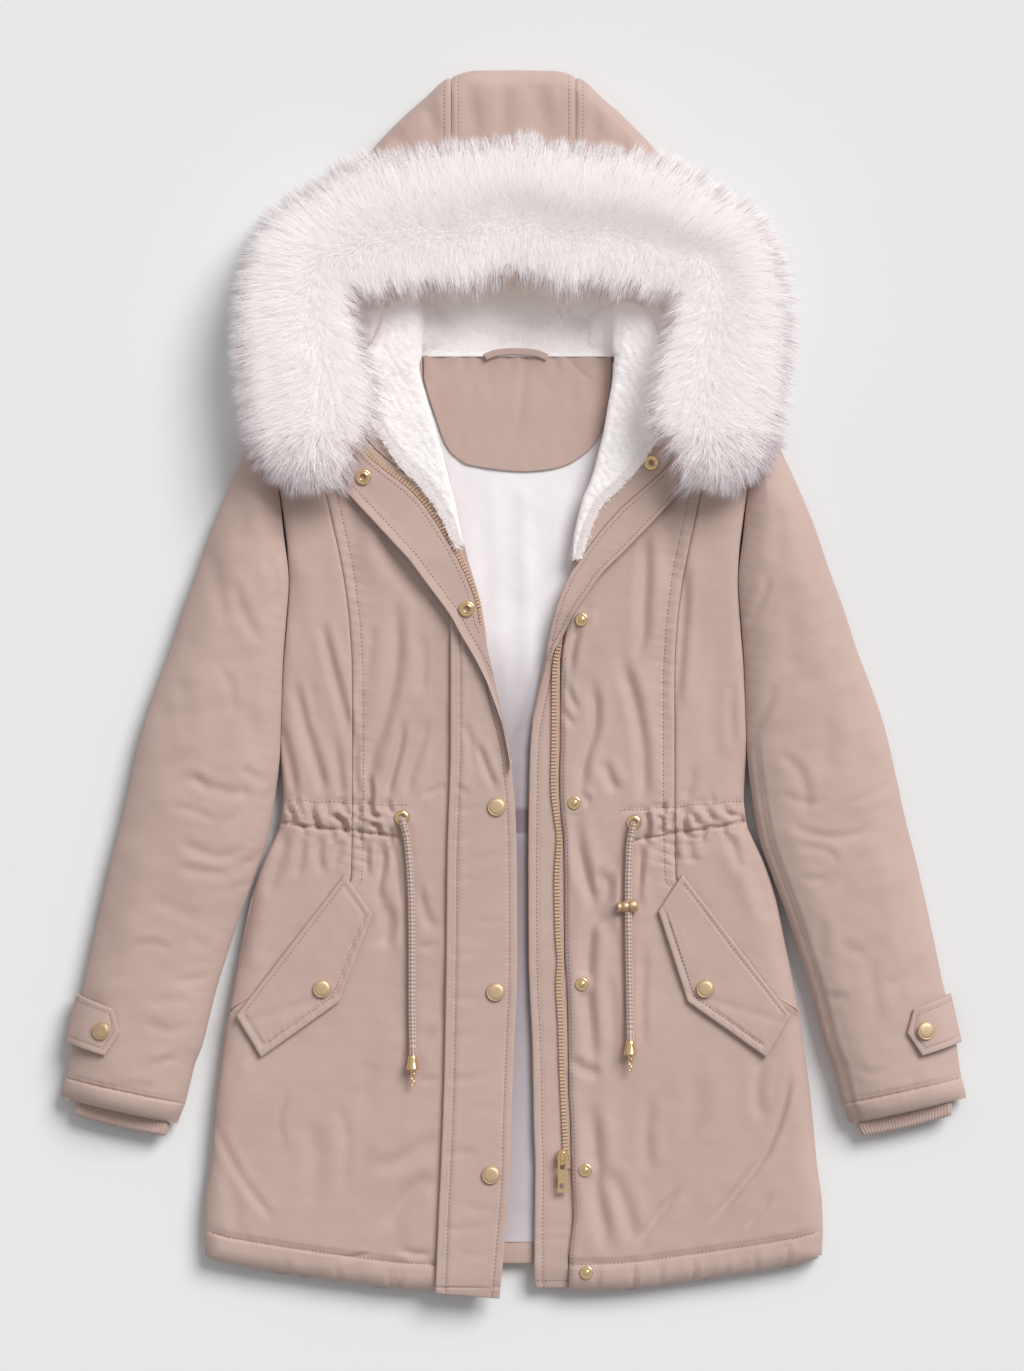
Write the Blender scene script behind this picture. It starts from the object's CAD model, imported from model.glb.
import math

import bmesh
import bpy
import numpy as np
from mathutils import Matrix, Vector
from mathutils.bvhtree import BVHTree


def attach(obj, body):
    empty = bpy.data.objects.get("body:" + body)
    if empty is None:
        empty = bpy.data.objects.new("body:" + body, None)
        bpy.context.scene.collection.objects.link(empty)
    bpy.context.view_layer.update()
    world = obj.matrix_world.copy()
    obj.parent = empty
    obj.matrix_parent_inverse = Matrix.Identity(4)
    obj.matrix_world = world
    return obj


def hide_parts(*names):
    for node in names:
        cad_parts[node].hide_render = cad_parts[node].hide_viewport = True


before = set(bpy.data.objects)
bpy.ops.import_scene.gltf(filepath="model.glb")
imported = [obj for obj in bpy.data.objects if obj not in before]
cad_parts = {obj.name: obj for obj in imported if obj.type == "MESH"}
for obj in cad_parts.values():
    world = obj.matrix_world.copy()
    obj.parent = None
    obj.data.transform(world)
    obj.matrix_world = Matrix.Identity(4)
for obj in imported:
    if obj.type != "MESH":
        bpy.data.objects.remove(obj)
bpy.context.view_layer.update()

# Camera, floor and light: the coat lies flat on a pale floor and is looked at from straight above, through a
# long lens; one broad window lights it from the side and a faint one fills in.
MM = 0.001
HEIGHT = 6.0
SENSOR = 24.0
FLOOR_SHOWN = 1.2613


def placed(name, data):
    """An object of the data, put in the scene."""
    made = bpy.data.objects.new(name, data)
    bpy.context.scene.collection.objects.link(made)
    return made


lens_holder = bpy.data.cameras.new("overhead")
lens_holder.sensor_fit = "VERTICAL"
lens_holder.sensor_height = SENSOR
lens_holder.lens = SENSOR * HEIGHT / FLOOR_SHOWN
lens_holder.clip_end = 50.0
camera = placed("overhead", lens_holder)
camera.location = (-0.0014, -0.0014, HEIGHT + 0.022)
bpy.context.scene.camera = camera


class Plug:
    """A shader socket that takes part in Python arithmetic; each operation adds a Math node."""

    def __init__(self, tree, socket):
        self.tree = tree
        self.socket = socket

    def math(self, operation, *values):
        node = self.tree.nodes.new("ShaderNodeMath")
        node.operation = operation
        for slot, value in zip(node.inputs, values):
            if isinstance(value, Plug):
                self.tree.links.new(value.socket, slot)
            else:
                slot.default_value = value
        return Plug(self.tree, node.outputs[0])

    def __add__(self, other):
        return self.math("ADD", self, other)

    def __radd__(self, other):
        return self.math("ADD", other, self)

    def __sub__(self, other):
        return self.math("SUBTRACT", self, other)

    def __rsub__(self, other):
        return self.math("SUBTRACT", other, self)

    def __mul__(self, other):
        return self.math("MULTIPLY", self, other)

    def __rmul__(self, other):
        return self.math("MULTIPLY", other, self)

    def sine(self):
        return self.math("SINE", self)

    def clamped(self):
        return self.math("MAXIMUM", self.math("MINIMUM", self, 1.0), 0.0)


class Finish:
    """A material under construction: its shader, its coordinates and any node it needs."""

    def __init__(self, name, roughness, metallic=0.0, **constants):
        self.material = bpy.data.materials.new(name)
        self.material.use_nodes = True
        self.tree = self.material.node_tree
        self.shader = self.tree.nodes["Principled BSDF"]
        self.shader.inputs["Roughness"].default_value = roughness
        self.shader.inputs["Metallic"].default_value = metallic
        for key, value in constants.items():
            self.shader.inputs[key.replace("_", " ")].default_value = value

    def node(self, kind, settings=None, output=0, **inputs):
        made = self.tree.nodes.new("ShaderNode" + kind)
        for key, value in (settings or {}).items():
            setattr(made, key, value)
        for key, value in inputs.items():
            numbered = key[0] == "i" and key[1:].isdigit()
            slot = made.inputs[int(key[1:]) if numbered else key.replace("_", " ")]
            if isinstance(value, Plug):
                self.tree.links.new(value.socket, slot)
            else:
                slot.default_value = value
        return Plug(self.tree, made.outputs[output])

    def place(self, kind="Object"):
        return self.node("TexCoord", output={"UV": 2, "Object": 3}[kind])

    def part(self, vector, axis):
        return self.node("SeparateXYZ", output=axis, Vector=vector)

    def noise(self, scale, detail=2.0, roughness=0.5):
        return self.node("TexNoise", Vector=self.place(), Scale=scale, Detail=detail, Roughness=roughness)

    def mix(self, share, a, b):
        return self.node("Mix", {"data_type": "RGBA"}, output=2, i0=share, i6=a, i7=b)

    def colour(self, value):
        if isinstance(value, Plug):
            self.tree.links.new(value.socket, self.shader.inputs["Base Color"])
        else:
            self.shader.inputs["Base Color"].default_value = (*value[:3], 1.0)

    def bump(self, height, strength, distance):
        bumped = self.node("Bump", Height=height, Strength=strength, Distance=distance)
        self.tree.links.new(bumped.socket, self.shader.inputs["Normal"])


def tone(red, green, blue):
    """Screen colour, 0 to 255, as the shader's linear colour."""
    made = []
    for value in (red, green, blue):
        c = value / 255
        made.append(c / 12.92 if c <= 0.04045 else ((c + 0.055) / 1.055) ** 2.4)
    return (*made, 1.0)


floor_finish = Finish("studio_floor", 0.9)
floor_finish.colour(floor_finish.mix(floor_finish.noise(1.3), tone(232, 232, 233), tone(236, 236, 236)))
floor_mesh = bmesh.new()
bmesh.ops.create_grid(floor_mesh, x_segments=8, y_segments=8, size=6.0)
floor_data = bpy.data.meshes.new("studio_floor")
floor_mesh.to_mesh(floor_data)
floor_mesh.free()
floor_data.materials.append(floor_finish.material)
studio_floor = placed("studio_floor", floor_data)
studio_floor.location.z = -0.0006

for name, tilt, turn, strength, breadth in (("high_window", 46, 50, 2.75, 32), ("far_window", 25, 160, 0.3, 90)):
    lamp = bpy.data.lights.new(name, "SUN")
    lamp.energy = strength
    lamp.angle = math.radians(breadth)
    placed(name, lamp).rotation_euler = (math.radians(tilt), 0, math.radians(turn + 90))
world = bpy.data.worlds.new("studio")
world.use_nodes = True
world.node_tree.nodes["Background"].inputs["Color"].default_value = (0.97, 0.98, 1.0, 1.0)
world.node_tree.nodes["Background"].inputs["Strength"].default_value = 0.285
bpy.context.scene.world = world
bpy.context.scene.view_settings.view_transform = "Standard"

# Drawcords of the waist: round braided cotton, 6.8 mm thick, each out of its eyelet and down over the skirt
# to a gold bell end; the left one carries a spring stopper.
CORD_THICK = 6.8
BRAID_PITCH = 7.2
ROUTE_RIGHT = (
    (-102.6, -123, 34.4), (-101, -130, 33.8), (-98, -142, 32.2), (-95.6, -165, 31.9), (-94.3, -188, 31.9),
    (-93.6, -215, 31.9), (-93.4, -242, 31.9), (-93.4, -268, 31.9), (-93.4, -295, 31.9), (-93, -318, 32.4),
    (-92.5, -341, 34.2),
)
ROUTE_LEFT = (
    (110.4, -127.4, 34.4), (109, -134, 33.8), (106.8, -146, 32.2), (105.8, -165, 31.9), (105.3, -188, 31.9),
    (105.3, -204, 31.9), (105.5, -228, 31.9), (105.8, -250, 31.9), (106.3, -275, 31.9), (106.7, -300, 32.3),
    (107.2, -327.5, 34.2),
)
cord_finish = Finish("braided_cotton", 0.85, Sheen_Weight=0.25)
cord_place = cord_finish.place("UV")
cord_run = cord_finish.part(cord_place, 0) * (1 / BRAID_PITCH)
cord_turn = cord_finish.part(cord_place, 1) * 3.0
plait = ((cord_run + cord_turn) * math.tau).sine() * ((cord_run - cord_turn) * math.tau).sine()
cord_finish.colour(cord_finish.mix((plait * 1.4 + 0.6).clamped(), tone(168, 140, 130), tone(214, 188, 178)))
cord_finish.bump(plait, 0.7, 0.0007)


def eased(points, step):
    """Points of one smooth curve through the given ones, about a step apart."""
    made = []
    for i in range(len(points) - 1):
        p0, p1, p2 = points[max(i - 1, 0)], points[i], points[i + 1]
        p3 = points[min(i + 2, len(points) - 1)]
        count = max(1, round(math.dist(p1, p2) / step))
        for k in range(count):
            t = k / count
            made.append(tuple(
                0.5 * (2 * b + (c - a) * t + (2 * a - 5 * b + 4 * c - d) * t * t + (3 * b - a - 3 * c + d) * t ** 3)
                for a, b, c, d in zip(p0, p1, p2, p3)
            ))
    return made + [tuple(points[-1])]


def surfaced(name, data, *materials, smooth=True):
    """An object of the mesh data, with its materials, shaded smooth or flat."""
    for material in materials:
        data.materials.append(material)
    data.polygons.foreach_set("use_smooth", [smooth] * len(data.polygons))
    return placed(name, data)


def finished(name, mesh, material):
    """A bmesh in millimetres made an object of the coat, in metres."""
    bmesh.ops.scale(mesh, vec=(MM, MM, MM), verts=mesh.verts[:])
    data = bpy.data.meshes.new(name)
    mesh.to_mesh(data)
    mesh.free()
    return surfaced(name, data, material)


def worn(piece, slot, *nodes, body="coat"):
    """The piece rides on its body, takes a slot's finish in the record and stands for its solids."""
    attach(piece, body)
    if nodes:
        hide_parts(*nodes)
    return piece


antique = Finish("matt_antique_gold", 0.48, 0.8)
antique.colour(antique.mix(antique.noise(240.0, 3.0), tone(208, 178, 142), tone(224, 196, 160)))
antique.bump(antique.noise(1500.0, 2.0), 0.15, 0.0002)
gold = Finish("bright_pale_gold", 0.2, 0.88)
gold.colour(gold.mix(gold.noise(300.0), tone(238, 198, 142), tone(250, 222, 172)))


def turned(name, material, profile, sides=48):
    """A profile of (radius, height) spun round the upright line, in millimetres."""
    mesh = bmesh.new()
    line = [mesh.verts.new((radius, 0, height)) for radius, height in profile]
    edges = [mesh.edges.new(pair) for pair in zip(line, line[1:])]
    bmesh.ops.spin(
        mesh, geom=line + edges, cent=(0, 0, 0), axis=(0, 0, 1), angle=math.tau, steps=sides, use_merge=True,
    )
    bmesh.ops.remove_doubles(mesh, verts=mesh.verts[:], dist=1e-4)
    bmesh.ops.recalc_face_normals(mesh, faces=mesh.faces[:])
    return mesh, name, material


def set_down(made, matrix, slot, *nodes):
    """A turned piece moved to its place on the coat."""
    mesh, name, material = made
    bmesh.ops.transform(mesh, matrix=matrix, verts=mesh.verts[:])
    return worn(finished(name, mesh, material), slot, *nodes)


BELL = (
    (0, 0), (3.7, 0), (4.0, 0.3), (4.3, 3), (4.9, 7), (5.7, 10.6), (6.2, 12.2), (6.2, 12.9), (5.7, 13.3),
    (5.0, 13.0), (3.2, 12.2), (2.4, 12.6), (2.6, 13.6), (2.9, 14.4), (2.6, 15.4), (1.6, 16.0), (0, 16.1),
)
LINK = (
    (1.1, 0), (1.3, 0.45), (1.8, 0.65), (2.3, 0.45), (2.5, 0), (2.3, -0.45), (1.8, -0.65), (1.3, -0.45),
    (1.1, 0),
)
STOPPER = (
    (0, 0), (3.8, 0), (4.7, 0.5), (5.0, 1.2), (5.0, 2.6), (4.5, 3.2), (4.1, 3.5), (4.1, 4.2), (4.5, 4.5),
    (5.0, 4.9), (5.0, 9.4), (4.6, 9.9), (3.9, 10.2), (3.9, 11.0), (4.9, 11.4), (5.6, 12.1), (5.7, 13),
    (5.7, 17.0), (5.3, 18.0), (4.6, 18.3), (4.2, 18.0), (0, 17.9),
)
TIP_LEVEL = 34.9
cord_tips = {}
for suffix, route in (("right", ROUTE_RIGHT), ("left", ROUTE_LEFT)):
    tip_x, tip_y = route[-1][:2]
    lying = Matrix.Translation((tip_x, tip_y, TIP_LEVEL)) @ Matrix.Rotation(math.pi / 2, 4, "X")
    bell = turned("cord_bell_" + suffix, gold.material, BELL)
    cord_tips[suffix] = [set_down(bell, lying, "bright_gold", "cord_end_" + suffix)]
    for number, (away, long, wide) in enumerate(((19.2, 1.6, 1.0), (25.6, 1.2, 0.85)), 1):
        flat = Matrix.Translation((tip_x, tip_y - away, TIP_LEVEL)) @ Matrix.Diagonal((wide, long, wide, 1))
        link = turned("cord_chain_%s_%d" % (suffix, number), gold.material, LINK, sides=24)
        cord_tips[suffix].append(set_down(link, flat, "bright_gold"))
across = (
    Matrix.Translation((95.2, -205.2, 34.1)) @ Matrix.Rotation(math.atan2(0.126, 0.992), 4, "Z")
    @ Matrix.Rotation(math.pi / 2, 4, "Y")
)
barrel = turned("cord_barrel", antique.material, STOPPER)
cord_tips["left"].append(set_down(barrel, across, "antique_gold", "cord_stopper"))

for suffix, route in (("right", ROUTE_RIGHT), ("left", ROUTE_LEFT)):
    guide = bpy.data.curves.new("cord_guide", "CURVE")
    guide.dimensions = "3D"
    guide.bevel_depth = CORD_THICK / 2 * MM
    guide.bevel_resolution = 6
    guide.use_fill_caps = True
    run = eased(route, 4)
    spline = guide.splines.new("POLY")
    spline.points.add(len(run) - 1)
    for point, co in zip(spline.points, run):
        point.co = (co[0] * MM, co[1] * MM, co[2] * MM, 1)
    guide_object = placed("cord_guide", guide)
    bpy.context.view_layer.update()
    tube = bpy.data.meshes.new_from_object(guide_object.evaluated_get(bpy.context.evaluated_depsgraph_get()))
    bpy.data.objects.remove(guide_object, do_unlink=True)
    tube.materials.clear()
    # The yarns run in millimetres along the cord and in turns round it.
    around = len(tube.vertices) // len(run)
    gone = np.concatenate([[0], np.cumsum([math.dist(a, b) for a, b in zip(run, run[1:])])])
    yarn = tube.uv_layers[0] if tube.uv_layers else tube.uv_layers.new(name="yarn")
    for face in tube.polygons:
        numbers = [tube.loops[k].vertex_index for k in face.loop_indices]
        turns = [v % around for v in numbers]
        if max(turns) - min(turns) > around / 2:
            turns = [t + around if t < around / 2 else t for t in turns]
        for k, vertex, turn in zip(face.loop_indices, numbers, turns):
            yarn.data[k].uv = (gone[min(vertex // around, len(run) - 1)], turn / around)
    cord = surfaced("waist_cord_" + suffix, tube, cord_finish.material)
    worn(cord, "cord_cotton", "drawcord_" + suffix)
    run_m = [tuple(c * MM for c in co) for co in run]

# Shell cloth: dusty pink cotton twill over thin padding. Every shell piece is a grid laid between its two
# cut lines, with rows that pair a point of each, and its rim rounded down to the layer below.
cotton = Finish("dusty_pink_twill", 0.86, Sheen_Weight=0.18, Sheen_Roughness=0.5)
spot_on = cotton.place()
TWILL = 5200.0
ribs = (cotton.part(spot_on, 0) * TWILL + cotton.part(spot_on, 1) * TWILL).sine()
slubs = cotton.noise(900.0, 2.0)
patches = cotton.noise(9.0, 3.0, 0.55)
fade = cotton.noise(60.0, 4.0, 0.6)
cotton.colour(cotton.mix((patches * 0.9 + fade * 0.5 - 0.2).clamped(), tone(187, 160, 150), tone(203, 177, 167)))
cotton.bump(ribs * 0.3 + slubs * 0.7 + fade * 3.6, 0.32, 0.0005)


def tuned(table, values):
    """A smooth line through a table of (place, value) rows, without overshoot, read at the values."""
    xs, ys = np.array(sorted(table), float).T
    step = np.diff(xs)
    slope = np.diff(ys) / step
    tangent = np.zeros(len(xs))
    for i in range(1, len(xs) - 1):
        if slope[i - 1] * slope[i] > 0:
            a = 2 * step[i] + step[i - 1]
            b = step[i] + 2 * step[i - 1]
            tangent[i] = (a + b) / (a / slope[i - 1] + b / slope[i])
    tangent[0], tangent[-1] = slope[0], slope[-1]
    at = np.clip(np.asarray(values, float), xs[0], xs[-1])
    k = np.clip(np.searchsorted(xs, at, side="right") - 1, 0, len(xs) - 2)
    h = step[k]
    t = (at - xs[k]) / h
    return (
        ys[k] * (1 + 2 * t) * (1 - t) ** 2 + h * tangent[k] * t * (1 - t) ** 2
        + ys[k + 1] * t * t * (3 - 2 * t) + h * tangent[k + 1] * t * t * (t - 1)
    )


def spread(count, length, rim, fine=()):
    """count + 1 distances along a length: the rim's at both ends and the rest between, closer about the fine
    places, which are pairs of a distance from the end and a half width."""
    scale = min(1.0, length * 0.45 / max(rim[-1], 1e-6))
    near = np.array(rim) * scale
    place = np.linspace(near[-1], length - near[-1], 600)
    weight = np.ones(600) + 2.2 * sum((np.abs(length - place - centre) < half) * 1.0 for centre, half in fine)
    gone = np.cumsum(weight)
    middle = np.interp(np.linspace(0, gone[-1], count + 3 - 2 * len(near)), gone, place)[1:-1]
    return np.concatenate([near, middle, length - near[::-1]])


SOFT_RIM = (0.0, 0.35, 0.9, 1.8, 3.0)


def laid(
    name, material, rows, across, along, top, floor, rim=SOFT_RIM, ends=SOFT_RIM, bend=None, under=None, fine=(),
):
    """A cloth piece in millimetres. Rows are (x, y, x, y) pairs of the two cut lines; top and floor give the
    heights from (x, y, distances to the first line, second line, first row and last row). A floor may be one
    level. A piece with an underside of its own, under, is a closed form as finely divided below as above."""
    mesh = bmesh.new()
    bmesh.ops.create_grid(mesh, x_segments=across, y_segments=along, size=0.5)
    if under is None:
        skirt = bmesh.ops.extrude_edge_only(mesh, edges=[e for e in mesh.edges if e.is_boundary])
        lower = [v for v in skirt["geom"] if isinstance(v, bmesh.types.BMVert)]
        hem = [e for e in skirt["geom"] if isinstance(e, bmesh.types.BMEdge) and e.is_boundary]
        bmesh.ops.contextual_create(mesh, geom=hem)
    else:
        shell = bmesh.ops.extrude_face_region(mesh, geom=mesh.faces[:])
        lower = [v for v in shell["geom"] if isinstance(v, bmesh.types.BMVert)]
    for vertex in lower:
        vertex.co.z = -1.0
    co = np.array([v.co for v in mesh.verts])
    i = np.rint((co[:, 0] + 0.5) * across).astype(int)
    j = np.rint((0.5 - co[:, 1]) * along).astype(int)
    table = np.array(rows, float)
    first, second = (np.hypot(*np.diff(table[:, c:c + 2], axis=0).T) for c in (0, 2))
    place = np.concatenate([[0], np.cumsum(np.maximum((first + second) / 2, 0.01))])
    length = place[-1]
    down = spread(along, length, ends, fine)
    lines = [tuned(list(zip(place, table[:, c])), down) for c in range(4)]
    width = np.maximum(np.hypot(lines[2] - lines[0], lines[3] - lines[1]), 0.01)
    over = np.array([spread(across, w, rim) / w for w in width])
    f = over[j, i]
    x = lines[0][j] + (lines[2][j] - lines[0][j]) * f
    y = lines[1][j] + (lines[3][j] - lines[1][j]) * f
    if bend:
        x, y = bend(x, y)
    near = (f * width[j], (1 - f) * width[j], down[j], length - down[j])
    low = under or floor
    z = np.where(co[:, 2] < -0.5, low(x, y, *near) if callable(low) else low, top(x, y, *near))
    for vertex, point in zip(mesh.verts, zip(x, y, z)):
        vertex.co = point
    bmesh.ops.recalc_face_normals(mesh, faces=mesh.faces[:])
    return finished(name, mesh, material)


def rounded(distance, radius):
    """1 at an edge and 0 from the radius inward, along a quarter circle."""
    f = np.clip(1 - distance / radius, 0, 1)
    return 1 - np.sqrt(np.maximum(0, 1 - f * f))


def ramp(value, start, end):
    """0 up to the start and 1 from the end on, eased between them."""
    t = np.clip((value - start) / (end - start), 0, 1)
    return t * t * (3 - 2 * t)


def dent(distance, width):
    """1 at no distance, falling off like a bell to both sides."""
    return np.exp(-((distance / width) ** 2))


def run_along(line):
    """The distance run at each point of a line, from 0 at its first."""
    return np.concatenate([[0], np.cumsum(np.hypot(*np.diff(line[:, :2], axis=0).T))])


def creased(x, y, table):
    """Hand placed folds: rows of half width, depth and the points of the fold's shaded wall. A soft ridge follows
    on the left of its direction, or on the right where the width is negative."""
    height = np.zeros_like(x)
    for width, depth, *points in table:
        wide = abs(width)
        line = np.array(eased(points, 7)) - 0.42 * wide
        gone = run_along(line)
        low, high = line.min(0) - 4 * wide, line.max(0) + 4 * wide
        near = (x > low[0]) & (x < high[0]) & (y > low[1]) & (y < high[1])
        if not near.any():
            continue
        px, py = x[near], y[near]
        best = np.full(px.shape, 1e9)
        side = np.zeros(px.shape)
        share = np.zeros(px.shape)
        for (x0, y0), (x1, y1), start in zip(line, line[1:], gone):
            run = math.hypot(x1 - x0, y1 - y0)
            t = np.clip(((px - x0) * (x1 - x0) + (py - y0) * (y1 - y0)) / run ** 2, 0, 1)
            away = np.hypot(px - x0 - t * (x1 - x0), py - y0 - t * (y1 - y0))
            closer = away < best
            best = np.where(closer, away, best)
            turn = np.sign((x1 - x0) * (py - y0) - (y1 - y0) * (px - x0))
            side = np.where(closer, turn, side)
            share = np.where(closer, (start + t * run) / gone[-1], share)
        s = best * side * math.copysign(1, width)
        fade = ramp(share, 0, 0.24) * ramp(-share, -1, -0.76)
        height[near] += fade * depth * (
            -dent(s, wide) + 0.5 * dent(s - 1.8 * wide, 1.2 * wide) + 0.22 * dent(s + 1.7 * wide, 1.1 * wide)
        )
    return height


def uneven(x, y, size, seed):
    """Soft unevenness of padding, about -1 to 1, from a few crossing waves."""
    total = np.zeros_like(x)
    for k in range(5):
        angle = seed * 1.7 + k * 2.4
        pitch = size * (0.6 + 0.35 * k)
        phase = (x * math.cos(angle) + y * math.sin(angle)) * math.tau / pitch + seed * (k + 1) * 2.1
        total += np.sin(phase) * (0.5 if k else 0.3)
    return total / 1.6


def seen_from_above(*pieces):
    """A finder of the highest point of the pieces over a spot, in millimetres."""
    graph = bpy.context.evaluated_depsgraph_get()
    trees = [BVHTree.FromObject(piece, graph) for piece in pieces]

    def height(x, y):
        hits = [tree.ray_cast(Vector((x * MM, y * MM, 0.3)), Vector((0, 0, -1)))[0] for tree in trees]
        return max((hit.z / MM for hit in hits if hit is not None), default=None)

    return height


def resampled(points, step, start=0.0):
    """Points a step apart along a line, with the direction of the line at each."""
    line = np.array(points, float)
    gone = run_along(line)
    made = []
    for d in np.arange(start, gone[-1], step):
        k = min(int(np.searchsorted(gone, d, side="right")) - 1, len(line) - 2)
        f = (d - gone[k]) / max(gone[k + 1] - gone[k], 1e-9)
        p = line[k] + (line[k + 1] - line[k]) * f
        made.append((p[0], p[1], math.atan2(line[k + 1][1] - line[k][1], line[k + 1][0] - line[k][0])))
    return made


def beside(points, by):
    """A line moved to the left of its direction by a distance, or by one distance for each point."""
    line = np.array(points, float)
    ahead = np.gradient(line, axis=0)
    ahead /= np.maximum(np.hypot(ahead[:, 0], ahead[:, 1]), 1e-9)[:, None]
    by = np.asarray(by, float)
    return [(x - ay * d, y + ax * d) for (x, y), (ax, ay), d in zip(line, ahead, np.broadcast_to(by, len(line)))]


def repeated(name, pattern, places, material, smooth=True):
    """One small mesh copied to many places: each place is a 4 x 4 matrix in millimetres."""
    base = np.array([v.co for v in pattern.verts])
    pattern.verts.index_update()
    faces = [[v.index for v in f.verts] for f in pattern.faces]
    pattern.free()
    homogeneous = np.c_[base, np.ones(len(base))]
    points = np.concatenate([homogeneous @ np.array(m).T[:, :3] for m in places]) * MM
    count = len(base)
    all_faces = [[n * count + v for v in f] for n in range(len(places)) for f in faces]
    data = bpy.data.meshes.new(name)
    data.from_pydata(points.tolist(), [], all_faces)
    return surfaced(name, data, material, smooth=smooth)


thread = Finish("matched_thread", 0.7)
thread.colour(thread.mix(thread.noise(700.0), tone(126, 98, 90), tone(160, 132, 121)))


THREAD_WIDE = 0.85
THREAD_LIFT = 0.1


def sewn(name, lines, carriers, stitch=2.4, gap=1.3):
    """Lockstitch along lines: short rounded stitches that lie on the carriers' surface."""
    height = seen_from_above(*carriers)
    places = []
    for line in lines:
        for x, y, angle in resampled(line, stitch + gap, 0.6):
            z = height(x, y)
            if z is not None:
                places.append(Matrix.Translation((x, y, z + THREAD_LIFT)) @ Matrix.Rotation(angle, 4, "Z"))
    pattern = bmesh.new()
    bmesh.ops.create_icosphere(pattern, subdivisions=1, radius=1.0)
    bmesh.ops.scale(pattern, vec=(stitch / 2, THREAD_WIDE / 2, THREAD_WIDE / 2.4), verts=pattern.verts[:])
    return worn(repeated(name, pattern, places, thread.material), "shell_cotton")


# Lines that pieces share, as places up the coat and distances from its middle.
SIDE = (
    (224, 226), (214, 225), (178, 215.5), (95, 206.5), (14, 212), (-62, 214.5), (-85, 213), (-104, 212),
    (-130, 215), (-142, 220), (-161, 229), (-196, 241), (-234, 249), (-300, 262), (-376, 273), (-438, 279),
    (-500, 285), (-526, 284), (-540, 280),
)
PRINCESS = ((245, 186), (183, 174), (146, 166), (104, 157), (60, 151), (0, 148), (-103, 148), (-177, 149))
HEM = ((284, -528), (262, -534), (240, -538), (160, -550), (90, -558), (50, -559), (0, -560))
BODY_ROWS = (
    245, 224, 200, 178, 150, 122, 95, 55, 14, -24, -62, -85, -104, -118, -130, -142, -161, -177, -200, -222, -244,
    -265, -285, -305, -335, -376, -410, -445, -480, -510, -528, -538,
)
FRONT_FLOOR = 14.8
LAY = 28.3


def hem_pull(x, y):
    """Bends the straight lower rows down to the hem's line, which is a little wavy."""
    drop = tuned(HEM, np.abs(x)) + 538
    wave = 0.6 * np.sin(x / 8 + 2 * np.sin(x / 23)) + 0.4 * np.sin(x / 3.7)
    return x, y + drop * np.clip((-y - 440) / 98, 0, 1) + wave * np.clip((-y - 518) / 20, 0, 1)


# Back: the padded shell on the ground, seen at its rim and inside its hem; satin lining over it with a pleat
# down the middle, and a curved neck facing of shell cloth.
BACK_LEVELS = (
    224, 200, 178, 137, 95, 55, 14, -24, -62, -85, -104, -118, -130, -142, -161, -196, -234, -300, -376, -438, -500,
    -526,
)


def from_side_to_side(levels, inset=0.0):
    """Rows at the levels, from one side seam to the other."""
    return [(inset - float(tuned(SIDE, y)), y, float(tuned(SIDE, y)) - inset, y) for y in levels]


def back_bend(x, y):
    """The back's hem hangs a little lower in the middle."""
    return x, y - 8 * np.clip((-y - 500) / 26, 0, 1) * np.cos(np.clip(x / 284, -1, 1) * math.pi / 2)


back_rows = [(-87, 303, 87, 303), (-121, 284, 121, 284), (-156, 264, 156, 264), (-190, 245, 190, 245)]
back = laid(
    "back_shell", cotton.material, back_rows + from_side_to_side(BACK_LEVELS), 60, 110,
    lambda x, y, a, b, c, d: 12.0 + 2.4 * ramp(-np.minimum(a, b), -6, -4) * (1 - 0.7 * rounded(np.minimum(a, b), 3))
    + 1.6 * ramp(-y, 511, 516) - 1.2 * rounded(d, 5) + 0.3 * uneven(x, y, 40, 3) * ramp(-y, 516, 522),
    None, bend=back_bend,
    under=lambda x, y, a, b, c, d: np.maximum(
        11 * ramp(-y, 30, 80) * rounded(np.minimum(a, b), 12), 8 * rounded(d, 14),
    ),
)
worn(back, "shell_cotton", "back")

satin = Finish("white_satin", 0.3, Sheen_Weight=0.2)
satin_high = satin.part(satin.place(), 1)
satin_tone = satin.noise(26.0, 3.0)
# The skirt's lining is greyer than the yoke's, most at the waist seam; the yoke greys gradually toward it.
below = ((satin_high * -1.0 - 0.060) * 150.0).clamped()
lower = ((satin_high * -1.0 - 0.139) * 150.0).clamped()
paler = ((satin_high * -1.0 - 0.200) * 1.3).clamped()
fading = ((satin_high * -1.0 + 0.055) * 9.0).clamped() * 0.69
seam_shade = ((satin_high * -1.0 - 0.112) * 150.0).clamped() * ((satin_high + 0.139) * 300.0).clamped()
satin_fine = satin.noise(420.0, 2.0)
satin.colour(satin.mix(
    (fading * (1.0 - below) + below * (lower * 0.12 + 0.7) * (1.0 - paler) + seam_shade * 0.4).clamped(),
    satin.mix((satin_tone * 1.3 - 0.25).clamped(), tone(238, 232, 235), tone(250, 246, 248)), tone(146, 130, 136),
))
satin.bump(satin_tone * 1.6 + satin_fine * 0.15, 0.3, 0.0012)


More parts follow.
